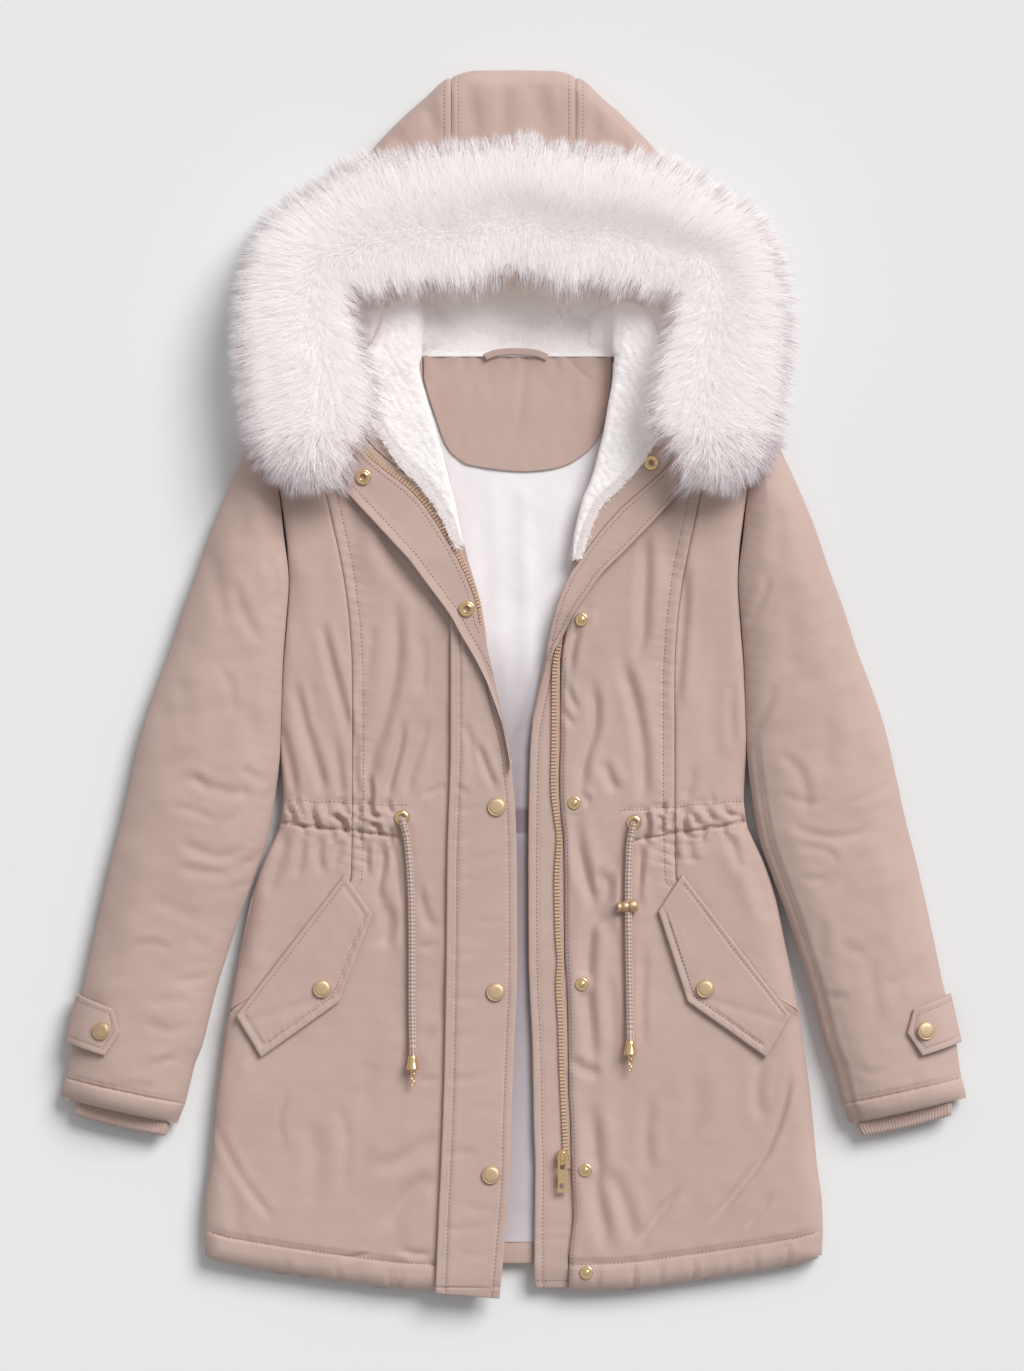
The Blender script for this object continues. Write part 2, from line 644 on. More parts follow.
def satin_top(x, y, *near):
    """Soft waves where the lining shows between the fronts, a pleat down the middle and three seams across."""
    z = 13.7 + 0.25 * uneven(x, y, 38, 6) + 0.16 * uneven(x, y, 15, 2)
    slant = 0.17 * (y + 20)
    shown = ramp(x, -14 - slant, -4 - slant) * ramp(-x, -26 - slant, -16 - slant)
    shown = shown * ramp(y, -40, 20) * ramp(-y, -186, -170)
    z = z + shown * (
        1.2 * dent(x - 14 + y / 40, 6) + 0.9 * dent(x + 11 + y / 30, 7) + 1.0 * dent(x - 31 - y / 14, 7)
        + 0.8 * dent(x + 30 + y / 8, 7) + 0.4 * uneven(x * 1.8, y * 0.35, 34, 3)
    )
    z = z - 1.2 * dent(x - 1 - 0.01 * y, 1.1) + 0.35 * dent(x + 3.4, 2.2) + 0.3 * dent(x - 6, 2.4)
    z = z - 0.8 * dent(y + 61 + 2 * np.sin(x / 16), 1.4) - 1.1 * dent(y + 142 + 1.5 * np.sin(x / 11), 2.0)
    z = z + 0.6 * ramp(-y, 132, 141) * ramp(y, -150, -143)
    z = z - 0.5 * np.maximum(0, np.sin(x / 2.7)) * dent(y + 508, 7)
    return np.minimum(z, 14.5 + 2.4 * shown)


lining_rows = [(-80, 302.5, 80, 302.5), (-114, 284, 114, 284), (-149, 264, 149, 264), (-183, 245, 183, 245)]
lining_levels = [y for y in BACK_LEVELS if y not in (-118, -142, -526)] + [-514]
lining_rows += from_side_to_side(lining_levels, inset=7.0)
lining = laid("back_satin_lining", satin.material, lining_rows, 96, 190, satin_top, 12.3)
worn(lining, "satin_lining", "back_lining")

NECK_LOW = (
    (-83, 297), (-84, 290), (-79, 268), (-71, 243), (-62, 219), (-46.5, 204), (-27, 199), (5, 195.5), (30, 197),
    (46, 200.5), (60, 208), (72, 218), (80, 231), (85.5, 250), (90, 280), (90, 297),
)


def along_line(points, count):
    """count points evenly along the straight pieces between the points."""
    line = np.array(points, float)
    gone = run_along(line)
    places = np.linspace(0, gone[-1], count)
    return [tuple(float(np.interp(p, gone, line[:, k])) for k in range(line.shape[1])) for p in places]


neck_low = along_line(eased(NECK_LOW, 3), 24)
neck_rows = [(-83 + 173 * i / 23, 302.7, x, y) for i, (x, y) in enumerate(neck_low)]
neck = laid(
    "neck_facing", cotton.material, neck_rows, 44, 76,
    lambda x, y, a, b, c, d: 16.4 + 0.22 * uneven(x, y, 26, 4) - 0.5 * rounded(b, 1.2)
    - 1.0 * dent(x - 0.9 * y + 321.5, 2.4) * ramp(y, 262, 272) * ramp(-x, 48, 56)
    - 0.9 * dent(x + 1.09 * y - 375.6, 3) * ramp(y, 272, 284) * ramp(x, 42, 50)
    + 0.4 * uneven(x * 1.6, y * 0.5, 40, 2) + 0.8 * np.sin(x / 3.3 + 0.8 * np.sin(x / 7)) * ramp(y, 282, 301)
    - 1.0 * dent(x - 6 - 0.12 * (y - 250), 4) * ramp(y, 210, 240) - 0.7 * dent(x + 42 - 0.2 * (y - 250), 5),
    14.8,
)
worn(neck, "shell_cotton", "back_neck_facing")

loop_line = along_line(((-26, 301), (-18, 304.2), (-9, 305.6), (2, 306), (14, 305.5), (23, 304), (31, 300.5)), 18)
loop_rows = [(*p, *q) for p, q in zip(beside(loop_line, 3.3), beside(loop_line, -3.1))]
hanger = laid(
    "hanger_loop", cotton.material, loop_rows, 8, 30,
    lambda x, y, a, b, c, d: 20.6 - 0.8 * rounded(np.minimum(a, b), 1.6), 18.6, rim=(0, 0.3, 0.9),
)
worn(hanger, "shell_cotton", "hanger_loop")

# Fronts: padded panels, each a main piece from the opening to the princess seam and over the skirt, and a side
# piece under the arm. A channel for the drawcord gathers the waist; the hem is turned up and stitched.
FOLDS_RIGHT = (
    (6.5, 5.4, (-107, 92), (-105, 60), (-105, 30), (-108, 5), (-118, -35), (-127, -61), (-131, -87),
        (-130, -106)), (4.6, 5.6, (-176, 66), (-172, 46), (-165, 17), (-158, -9), (-151.5, -34), (-150, -56)),
    (5, 5.4, (-202, 12), (-197, -6), (-190, -35), (-184, -56), (-176, -82), (-172, -106)),
    (4, 4.2, (-213, -30), (-208, -54), (-202, -80), (-199, -104)),
    (4, 4.4, (-99, -26), (-105, -62), (-112, -88), (-116, -106)),
    (5, 3.0, (-74, -26), (-84, -56), (-94, -84), (-98, -104)), (2.8, 2.6, (-58, -92), (-70, -96), (-84, -103)),
    (2.8, 4.4, (-132, -82), (-130.5, -95), (-129, -108)), (3.4, 2.8, (-141, -46), (-144, -72), (-142, -104)),
    (4, 3.0, (-163, -44), (-160, -74), (-156, -106)), (9, 2.2, (-206, 120), (-200, 84), (-200, 50)),
    (11, 2.8, (-140, 168), (-144, 120), (-138, 80)), (12, 3.6, (-122, 150), (-98, 112), (-74, 78)),
    (6, 2.4, (-84, 50), (-80, 20), (-84, -10)), (4, 2.0, (-186, 10), (-182, -20), (-176, -44)),
    (5, 2.0, (-128, 60), (-130, 30), (-136, 0)),
    (5, 4.4, (-122, -140), (-118, -158), (-124, -186), (-116, -206)),
    (4, 3.0, (-133, -141), (-134, -160), (-131, -182)), (7, 4.6, (-116, -196), (-112, -220), (-118, -240)),
    (4, 3.4, (-110, -141), (-104, -168), (-99, -200)), (6, 2.8, (-88, -180), (-80, -206), (-68, -226)),
    (4, 3.0, (-176, -136), (-178, -156), (-172, -176)), (-6, 3.4, (-205, -128), (-212, -156), (-226, -196)),
    (4, 2.8, (-193, -134), (-194, -158), (-200, -180)), (4, 2.6, (-157, -140), (-160, -154), (-168, -170)),
    (8, 2.6, (-236, -180), (-246, -220), (-254, -262)),
    (-3.6, 2.2, (-276, -398), (-257, -438), (-238, -468), (-214, -497)),
    (8, 2.8, (-66, -408), (-92, -430), (-128, -446)), (8, 3.4, (-66, -444), (-92, -466), (-116, -500)),
    (9, 1.4, (-186, -392), (-178, -440), (-186, -490)), (6, 1.6, (-232, -300), (-250, -330), (-258, -372)),
    (9, 1.2, (-120, -300), (-132, -352), (-126, -400)), (6, 2.4, (-68, -312), (-84, -330), (-104, -342)),
    (7, 1.4, (-262, -420), (-256, -470), (-250, -508)), (5, 1.2, (-160, -380), (-152, -420), (-156, -470)),
    (3, 1.2, (-206, -366), (-214, -400), (-208, -430)), (3, 1.6, (-66, -236), (-78, -241), (-92, -240)),
    (3, 1.6, (-66, -362), (-80, -364), (-92, -360)), (2.2, 1.8, (-132, -521), (-146, -526), (-160, -527)),
    (4, 2.2, (-72, -522), (-88, -523), (-106, -517)), (2.2, 3.6, (-112, -536), (-110.5, -545), (-112.5, -553)),
    (2, 3.2, (-104, -534), (-103, -545), (-105, -556)), (2.2, 1.8, (-163, -531), (-160, -542), (-162, -551)),
    (3, 1.2, (-209, -526), (-206, -536), (-208, -546)),
)
FOLDS_LEFT = (
    (6, 6.0, (124, 150), (124, 112), (122, 74), (121, 48), (115, 30), (108, 22)),
    (6, 5.6, (103, 38), (105, 14), (110, -2), (116, -26), (121, -54), (122, -84), (120, -112)),
    (4.4, 5.4, (71, 78), (65, 62), (57, 42), (53, 18), (47, 10)),
    (5, 5.4, (74, 10), (77, -18), (76, -40), (70, -58), (65, -80), (64, -100)),
    (5, 4.0, (84, -68), (90, -84), (97, -98)),
    (4.6, 5.0, (161, 120), (159, 84), (157, 50), (154, 10), (151, -30)),
    (3.4, 3.4, (50, 2), (56, -16), (62, -24)), (3, 3.0, (46, -22), (54, -34), (60, -36)),
    (10, 2.2, (196, 60), (190, 20), (188, -30), (190, -80)),
    (9, 2.0, (140, 60), (140, 10), (138, -40), (140, -90)), (5, 2.6, (204, 10), (202, -30), (206, -64)),
    (4, 2.6, (60, -98), (66, -104), (74, -108)), (5, 2.4, (168, -72), (164, -90), (158, -106)),
    (10, 3.0, (150, 160), (148, 120), (152, 84)),
    (6, 4.8, (60, -100), (60, -124), (64, -157), (70, -180), (76, -200), (73, -226), (70, -276),
        (75, -336), (74, -380)), (6, 5.0, (76, -168), (86, -178), (84, -204), (78, -226)),
    (7, 4.6, (73, -372), (77, -420), (79, -462), (86, -500), (88, -526)),
    (5, 3.0, (54, -340), (66, -352), (84, -358)), (7, 2.8, (84, -436), (102, -470), (116, -516)),
    (4, 3.4, (156, -460), (142, -478), (128, -496), (114, -516)),
    (3.4, 4.2, (258, -342), (250, -385), (233, -430), (210, -461), (191, -484), (175, -507)),
    (3, 2.4, (239, -468), (227, -484), (214, -500)),
    (5, 4.4, (121, -142), (118, -158), (116, -178), (112, -204)),
    (4, 2.8, (151, -141), (149, -152), (153, -164)), (4, 2.8, (165, -142), (163, -152), (168, -164)),
    (5, 3.0, (198, -134), (205, -150), (212, -172)), (-7, 3.0, (216, -140), (228, -178), (242, -222)),
    (7, 3.2, (98, -150), (92, -190), (90, -236)), (8, 2.4, (128, -230), (120, -290), (124, -340)),
    (10, 1.6, (176, -356), (168, -390), (160, -420)), (7, 2.4, (90, -260), (94, -310), (88, -360)),
    (6, 2.2, (130, -372), (124, -410), (128, -450)), (6, 2.2, (234, -330), (226, -370), (232, -404)),
    (2.4, 3.2, (110, -532), (112, -544), (111, -556)), (2.2, 3.0, (165, -526), (168, -538), (167, -549)),
    (2.4, 2.4, (222, -520), (224, -531), (223, -542)), (2.2, 2.0, (134, -531), (137, -542), (136, -552)),
    (2.6, 1.6, (196, -525), (197, -535), (196, -545)), (2.2, 2.2, (252, -512), (254, -523), (253, -534)),
    (2.2, 2.4, (78, -534), (79, -545), (77, -556)),
)
BAND_TUCKS = {
    -1: (
        (2.8, 5.6, (-209, -110), (-201, -118), (-202, -130)), (2.6, 4.4, (-200, -102), (-196, -113), (-192, -122)),
        (2.8, 5.8, (-186, -108), (-182, -122), (-176, -136)), (2.4, 3.8, (-172, -106), (-170, -113), (-171, -121)),
        (3.0, 6.0, (-168, -118), (-156, -125), (-152, -140)), (2.4, 4.2, (-158, -104), (-154, -114), (-149, -122)),
        (2.8, 6.0, (-132, -102), (-129, -118), (-121, -124)), (2.6, 4.6, (-132, -127), (-124, -130), (-121, -140)),
        (2.4, 3.4, (-143, -108), (-141, -116), (-143, -126)), (2.4, 3.6, (-115, -106), (-113, -114), (-108, -119)),
        (2.2, 3.0, (-196, -127), (-192, -132), (-191, -141)), (2.2, 3.0, (-142, -131), (-140, -137), (-141, -146)),
        (2.2, 2.8, (-168, -132), (-165, -138), (-166, -146)), (2.2, 2.6, (-112, -130), (-111, -138), (-113, -148)),
    ),
    1: (
        (3.2, 6.0, (122, -113), (125, -128), (121, -147)), (3.4, 6.4, (159, -110), (158, -126), (163, -143)),
        (2.8, 4.6, (160, -114), (168, -122), (171, -130)), (2.8, 4.2, (175, -110), (182, -119), (186, -126)),
        (2.6, 3.6, (178, -128), (175, -136), (173, -144)), (2.8, 4.8, (190, -109), (199, -118), (208, -122)),
        (2.6, 3.2, (196, -126), (194, -133), (195, -140)), (3.0, 5.0, (211, -106), (209, -119), (214, -131)),
        (2.6, 3.6, (134, -118), (138, -128), (136, -138)), (2.6, 3.4, (147, -114), (147, -123), (144, -132)),
        (2.4, 2.8, (140, -106), (139, -114), (141, -122)), (2.4, 2.8, (184, -99), (183, -107), (186, -114)),
    ),
}
CHANNEL_LINES = {
    -1: ((94, -112), (210, -106.5), (118, -139), (211, -128.4)),
    1: ((101, -116.5), (212, -107.3), (121, -142), (215, -127)),
}
EYELETS = {-1: ROUTE_RIGHT[0][:2], 1: ROUTE_LEFT[0][:2]}
STUDS = ((55.9, -109.5), (62.8, -276), (66, -447), (67, -541), (62.5, 59))
PRESSED = {-1: (EYELETS[-1],), 1: (*STUDS, EYELETS[1])}


def channel(x):
    """The heights of the two stitch lines of the cord's channel."""
    ax = np.abs(x)
    (x0, y0), (x1, y1), (x2, y2), (x3, y3) = CHANNEL_LINES[1 if np.mean(x) > 0 else -1]
    return y0 + (y1 - y0) * (ax - x0) / (x1 - x0), y2 + (y3 - y2) * (ax - x2) / (x3 - x2)


def pressed(x, y):
    """1 where a stud or an eyelet is set into the cloth."""
    near = np.zeros_like(x)
    for sx, sy in PRESSED[1 if x.mean() > 0 else -1]:
        near = np.maximum(near, ramp(-np.hypot(x - sx, y - sy), -12, -7))
    return near


def gathered(x, y):
    """What the cord draws in between the two stitch lines of its channel: tucks, and puffed cloth."""
    ax = np.abs(x)
    upper, lower = channel(x)
    wavy = 0.7 * np.sin(ax / 4.6 + 1.3 * np.sin(ax / 9.7))
    stitched = dent(y - upper + wavy, 1.6) + dent(y - lower - wavy, 1.6)
    puff = 2.1 * dent(y - (upper + lower) / 2, 9) - 2.8 * stitched
    tucks = creased(x, y, BAND_TUCKS[1 if x.mean() > 0 else -1])
    return -(tucks + puff) * ramp(ax, 98, 110) * (1 - pressed(x, y))


def settled(z, cap, softness=0.5):
    """Heights kept under a cap, easing into it."""
    return cap - softness * np.log1p(np.exp(np.clip((cap - z) / softness, -30, 30)))


def rippled(x, y, distance, reach, pitch, seed):
    """Small puckers across a line of stitches."""
    run = x * 0.3 + y
    wave = np.sin(run * math.tau / pitch + 1.6 * np.sin(run / 21 + seed))
    return np.maximum(wave, -0.3) * np.exp(-distance / reach)


HEM_STITCH = 25
MAIN_SEAM_STITCH = 10


def front_height(folds, kind):
    """Heights of a front's main or side piece: its crown, seams, turned up hem, folds and gathered waist."""
    def top(x, y, a, b, c, d):
        left_side = x.mean() > 0
        inner, outer = (a, b) if left_side else (b, a)
        z = 27.2 + 0.7 * uneven(x, y, 58, 2) + 0.25 * uneven(x, y, 21, 5)
        seam = 1.8 * np.maximum(0, 1 - outer / 3) ** 2 * ramp(y, -286, -276)
        seam = seam + 0.7 * dent(outer - MAIN_SEAM_STITCH, 1.4)
        seam = seam + 1.1 * rippled(x, y, np.abs(outer - 8), 9, 9.5, 1)
        above = hem_above(x, y)
        if kind == "main":
            free = ramp(-y, 296, 312)
            drop = (1 - free) * seam + free * (12.2 * rounded(outer, 22))
            if left_side:
                drop = drop + 6 * rounded(inner, 6) + 0.7 * dent(inner - 3.4, 1.0)
        else:
            free = ramp(-y, 20, 85)
            drop = (1 - free) * 5 * rounded(outer, 10) + free * 12.2 * rounded(outer, 22)
            drop = drop + 1.8 * np.maximum(0, 1 - inner / 3) ** 2 * ramp(y, -286, -276)
            drop = drop + 0.6 * rippled(x, y, inner, 9, 9.5, 2)
        drop = np.maximum(drop, 12.2 * rounded(above, 15))
        turn_up = 3.0 * dent(above - HEM_STITCH, 1.0) + 1.5 * dent(above - 27.4, 2.6) - 0.5 * dent(above - 14, 8)
        drop = drop + turn_up * ramp(outer, 2, 12)
        off_stitch = np.abs(above - HEM_STITCH)
        drop = drop + 0.35 * rippled(y, x, off_stitch, 7, 10.5, 3) + 0.35 * rippled(y, x, off_stitch, 5, 17, 5)
        spot = pressed(x, y)
        clear = (1 - flattened(x, y)) * (1 - spot)
        open_cloth = clear * (1 - overlaid(x, y))
        change = creased(x, y, folds) * (1 - 0.36 * ramp(y, -112, -60))
        drop = drop - np.where(change > 0, change * open_cloth, change * (0.25 + 0.75 * clear))
        drop = drop + gathered(x, y) - 0.9 * spot
        return np.maximum(settled(z - drop, 28.15 + 3 * open_cloth), 15.6)

    return top


FREE_RIGHT = (
    (-172, 194), (-169, 188), (-160, 183), (-126.5, 147), (-96, 114), (-82, 95), (-58, 63), (-48, 44), (-37, 26),
    (-25, 3), (-18, -16), (-10.6, -36), (-5, -63), (-2.6, -80),
)
FREE_LEFT = (
    (158, 212), (175, 200), (151, 174), (128, 149), (100, 120), (81, 102), (67, 82), (55, 65), (45.5, 44),
    (36, 29), (27, 5), (21.6, -14), (17.6, -36),
)


def overlaid(x, y):
    """1 where the storm flap or a turned part lies over the front."""
    right = x.mean() < 0
    free_edge = np.interp(x, *zip(*sorted(FREE_RIGHT if right else FREE_LEFT)))
    return np.maximum(ramp(x, -80, -74) if right else 0 * x, ramp(y - free_edge, -12, -5))


def hem_above(x, y):
    """Height over the hem."""
    return y - tuned(HEM, np.abs(x))


def flattened(x, y):
    """1 under the pocket flaps and the drawcords, where the cloth stays flat."""
    ax = np.abs(x)
    slant = (y + 175) * 0.78 + ax - 155
    flap = ramp(ax, 120, 128) * ramp(y, -352, -344) * ramp(-y, 168, 176) * ramp(-slant, -16, -8)
    route = ((-341, 107), (-165, 105.8), (-112, 110.4))
    if x.mean() < 0:
        route = ((-341, 92.5), (-165, 95.6), (-130, 101), (-112, 103))
    away = np.abs(ax - np.interp(y, *zip(*route)))
    return np.maximum(flap, ramp(-away, -11, -6) * ramp(y, -384, -372) * ramp(-y, 112, 122))


def front_floor(x, y, *rest):
    return FRONT_FLOOR - 0.55 * np.maximum(0, -y - 547)


INNER_RIGHT = (
    (303, 84), (290, 87), (270, 82), (244, 74), (216, 66), (169, 54), (114, 42), (71, 30), (46, 26), (20, 24),
    (-560, 24),
)
INNER_LEFT = (
    (303, 92.5), (279, 90.6), (229, 82), (190, 72), (170, 63), (149, 58), (134, 54.7), (109, 53.5), (82, 52),
    (61, 50), (41, 46.7), (18, 44), (-51, 44), (-90, 43), (-124, 45), (-142, 47), (-254, 48), (-278, 50),
    (-329, 51), (-364, 51.4), (-411, 53.5), (-445, 54), (-479, 56), (-506, 54.7), (-533, 51.4), (-558, 52),
)


def panel_seam(y):
    """How far from the middle the seam between a front's main piece and its side piece runs."""
    if y > -178:
        return float(tuned(PRINCESS, y))
    return float(np.interp(-y, (177, 305), (149, 255)) if y > -305 else tuned(SIDE, y))


def front_rows(side, inner_table):
    """The rows of a front's main piece, and of its side piece, which ends at the side seam."""
    def row(outer, inner):
        return (*outer, *inner) if side < 0 else (*inner, *outer)

    main, side_piece = [], []
    for y in BODY_ROWS:
        inner_y = y + 58 * max(0.0, (y + 62) / 307) ** 1.3
        pulled = float(hem_pull(np.array([50.0]), np.array([float(inner_y)]))[1][0])
        inner = (side * float(tuned(inner_table, pulled)) - (0.9 if side > 0 and inner_y < 20 else 0), inner_y)
        outer = (side * panel_seam(y), y)
        main.append(row(outer, inner))
        if y > -310:
            gap = 0.3 if y > -177 else (0.45 if y > -284 else 0.03)
            edge_y = {245: 224, 224: 219}.get(y, y)
            side_piece.append(row((side * float(tuned(SIDE, edge_y)), edge_y), (outer[0] + side * gap, y)))
    side_piece.append(row((side * float(tuned(SIDE, -317)), -317), (side * 260.5, -317)))
    return main, side_piece


main_right, side_right = front_rows(-1, INNER_RIGHT)
main_left, side_left = front_rows(1, INNER_LEFT)
FRONT_ENDS = (0.0, 0.6, 1.6, 3.2, 5.5)
FINE_AT_HEM, FINE_AT_WAIST, FINE_AT_SIDE_WAIST = (24.5, 6), (417, 27), (198, 26)
fronts = {}
for name, node, kind, rows, across, folds in (
    ("right_front", "front_right", "main", main_right, 76, FOLDS_RIGHT),
    ("left_front", "front_left", "main", main_left, 74, FOLDS_LEFT),
    ("right_side_front", "front_right_side", "side", side_right, 30, FOLDS_RIGHT),
    ("left_side_front", "front_left_side", "side", side_left, 30, FOLDS_LEFT),
):
    shape = dict(along=180, fine=(FINE_AT_SIDE_WAIST,))
    if kind == "main":
        shape = dict(along=290, ends=FRONT_ENDS, bend=hem_pull, fine=(FINE_AT_HEM, FINE_AT_WAIST))
    piece = laid(name, cotton.material, rows, across, top=front_height(folds, kind), floor=front_floor, **shape)
    fronts[node] = worn(piece, "shell_cotton", node)


def channel_stitches(side, level, start, end, count):
    """One stitch line of the cord's channel, which wavers a little."""
    return [(side * x, channel(side * x)[level] + 0.6 * math.sin(x / 5)) for x in np.linspace(start, end, count)]


for side, suffix, rows in ((-1, "right", main_right), (1, "left", main_left)):
    seam_line = [(r[0], r[1]) if side < 0 else (r[2], r[3]) for r in rows if r[1] > -292]
    sewn_lines = [beside(seam_line, -side * MAIN_SEAM_STITCH)]
    hem_reach = np.linspace(26 if side < 0 else 55, 278, 60)
    sewn_lines.append([(side * x, float(tuned(HEM, x)) + HEM_STITCH) for x in hem_reach])
    sewn_lines += [channel_stitches(side, level, (98, 116)[level], 147, 20) for level in (0, 1)]
    if side > 0:
        fold_line = np.array([(r[0], r[1]) for r in rows if r[1] < 40], float)
        sewn_lines.append(beside(list(zip(*hem_pull(*fold_line.T))), 3.4))
    sewn("front_stitches", sewn_lines, [fronts["front_" + suffix]])
    sewn(
        "side_stitches", [channel_stitches(side, level, 149.5, 212, 30) for level in (0, 1)],
        [fronts["front_%s_side" % suffix]],
    )

# Storm flap: a double layer of shell cloth on the wearer's right front that covers the zip, stitched along its
# seam and its free edge; above the waist it is turned outward and shows its back.
FLAP_SEAM = (
    (112, -62), (64, -58), (-52, -58), (-155, -61), (-254, -62), (-364, -64), (-445, -67), (-486, -69), (-560, -72),
)
FLAP_FREE = (
    (112, -46), (95, -39.5), (71, -32.5), (46, -28), (31, -24.2), (-3, -16.6), (-29, -11.2), (-51, -5.6),
    (-66, -2.9), (-87, -1), (-111, 1.4), (-162, 3), (-250, 3.4), (-285, 3), (-316, 1.4), (-364, -0.5),
    (-405, -2), (-445, -3), (-479, -5), (-512, -8), (-546, -11), (-565, -13),
)
FLAP_ROWS = (
    112, 95, 71, 46, 31, -3, -29, -51, -66, -87, -111, -136, -162, -206, -250, -285, -316, -364, -405, -445, -479,
    -512, -535, -546, -555, -565,
)
flap_rows = [
    (float(tuned(FLAP_SEAM, max(y, -560))), y + (5 if y == -565 else 0), float(tuned(FLAP_FREE, y)), y)
    for y in FLAP_ROWS
]
FLAP_FOLDS = (
    (3.4, 9.0, (-33, -50), (-24, -75), (-14, -98)), (4, 4.0, (-46, -30), (-38, -52), (-34, -80)),
    (3, 4.0, (-54, -92), (-47, -95), (-40, -102)),
    (4, 1.8, (-58, -112), (-40, -114), (-22, -110)), (3, 1.8, (-60, -139), (-46, -141), (-34, -138)),
    (3, 1.8, (-60, -181), (-44, -178), (-30, -180)), (4, 1.8, (-8, -150), (-20, -158), (-34, -160)),
    (3, 2.0, (-61, -244), (-44, -247), (-26, -243)), (3, 1.6, (-6, -214), (-20, -218), (-36, -216)),
    (4, 2.0, (-60, -289), (-42, -286), (-28, -291)), (4, 1.8, (-62, -330), (-46, -322), (-30, -318)),
    (4, 2.2, (-62, -358), (-44, -362), (-20, -356)), (4, 1.6, (-10, -392), (-26, -388), (-44, -392)),
    (4, 2.2, (-64, -433), (-46, -428), (-30, -432)), (4, 2.0, (-12, -478), (-30, -482), (-50, -474)),
    (4, 2.2, (-66, -496), (-48, -500), (-28, -494)), (4, 1.6, (-16, -520), (-32, -524), (-52, -520)),
)


FLAP_SEAM_STITCH = 9
FLAP_EDGE_STITCH = 7.5


def flap_height(x, y, a, b, c, d):
    z = LAY + 4.1 - 4.0 * np.clip((-y - 540) / 25, 0, 1) ** 2 + 0.3 * uneven(x, y, 34, 7)
    off_seam, off_edge = a - FLAP_SEAM_STITCH, b - FLAP_EDGE_STITCH
    z = z - 1.4 * rounded(np.minimum(a, b), 1.8) - 1.0 * dent(off_seam, 0.9) - 0.9 * dent(off_edge, 0.9)
    z = z - 1.0 * dent(d - 8, 1.0) - 0.45 * rippled(x, y, np.minimum(np.abs(off_seam), np.abs(off_edge)), 5, 9, 4)
    z = z + 0.5 * dent(a - 13, 3) - 0.25 * dent(a - 5, 2)
    return z + 0.34 * creased(x, y, FLAP_FOLDS) * ramp(np.minimum(a, b), 1, 7) - 0.6 * rounded(d, 2)


def flap_floor(x, y, *rest):
    return LAY - 4.0 * np.clip((-y - 540) / 25, 0, 1) ** 2


flap = laid(
    "storm_flap_cloth", cotton.material, flap_rows, 36, 230, flap_height, flap_floor,
    rim=(0, 0.4, 1.0, 2.0, 4.0, 5.6, 6.6, 7.4, 8.2, 9.0, 9.9, 11.4), fine=((8, 3),),
)
worn(flap, "shell_cotton", "storm_flap")
sewn("flap_stitches", [
    beside([(r[0], r[1]) for r in flap_rows], FLAP_SEAM_STITCH),
    beside([(r[2], r[3]) for r in flap_rows], -FLAP_EDGE_STITCH),
    [(x, -552.5 - 0.2 * (x + 70) / 4) for x in np.linspace(-63, -20, 12)],
], [flap])

# Turned out right opening: brass zip teeth on their tape, the flap's back beside them toward the arm, a strip
# of shell facing and the fleece facing toward the neck.
TEETH_RIGHT = (
    (-146, 232), (-139.2, 218), (-129, 208), (-117.2, 198.4), (-105, 189.2), (-91.5, 178.5), (-79, 164),
    (-70.2, 151), (-59, 133), (-51.2, 120), (-42.5, 102), (-35.6, 86), (-30.8, 69), (-27.2, 46),
)
ROLL_RIGHT = ((-27, 46), (-23.6, 31), (-16, -3), (-10.6, -29), (-5, -51), (-1.6, -70))
BOUND_RIGHT = (
    (-133, 252), (-126.5, 242), (-117, 229), (-99, 202), (-81, 186), (-67.6, 166), (-58, 150), (-51.5, 134),
)
FLEECE_RIGHT = ((-84, 302), (-87, 290), (-82, 270), (-74, 244), (-66, 216), (-54, 169), (-45.4, 128))


def pairs(first, second):
    return [(*p, *q) for p, q in zip(first, second)]


def lap_right(x, y, *rest):
    """The level the turned out right opening lies on; it rises over the storm flap."""
    return LAY + 4.5 * np.clip((165 - y) / 50, 0, 1)


bound_right = along_line(BOUND_RIGHT, 16)
teeth_right = along_line(TEETH_RIGHT, 20)
inward = [
    float(np.interp(-y, (-250, -130, -114, -95, -71, -46), (6.4, 6.4, 4.0, 1.8, 1.4, 0.8))) for x, y in teeth_right
]
tape = Finish("woven_zip_tape", 0.9)
tape_weave = (tape.part(tape.place(), 0) * TWILL - tape.part(tape.place(), 1) * TWILL).sine()
tape.colour(tape.mix(tape.noise(300.0), tone(186, 158, 146), tone(206, 180, 168)))
tape.bump(tape_weave, 0.4, 0.0003)
tape_right = laid(
    "right_zip_tape", tape.material, pairs(beside(teeth_right, -2.4)[:18], beside(teeth_right, inward)[:18]), 8, 60,
    lambda x, y, a, b, c, d: lap_right(x, y) + 2.2 - 0.3 * rounded(np.minimum(a, b), 0.9), lap_right,
    rim=(0, 0.3, 0.9),
)
worn(tape_right, "zip_tape", "zip_tape_right")


def faced(name, node, rows, lap, thick):
    """A strip of shell facing on a turned out opening."""
    def top(x, y, a, b, c, d):
        return lap(x, y) + thick - 0.5 * rounded(np.minimum(a, b), 1) + 0.15 * uneven(x, y, 22, 8)

    strip = laid(name, cotton.material, rows, 12, 60, top, lap, rim=(0, 0.35, 1.0))
    return worn(strip, "shell_cotton", node)


facing_outer = [p for p in beside(teeth_right, [d + 0.6 for d in inward]) if p[1] > 136]
facing_rows = pairs(along_line(facing_outer, 16), beside(bound_right, -0.15))
faced("right_facing", "facing_right", facing_rows, lap_right, 3.0)


TURNED_STITCH = 8.5


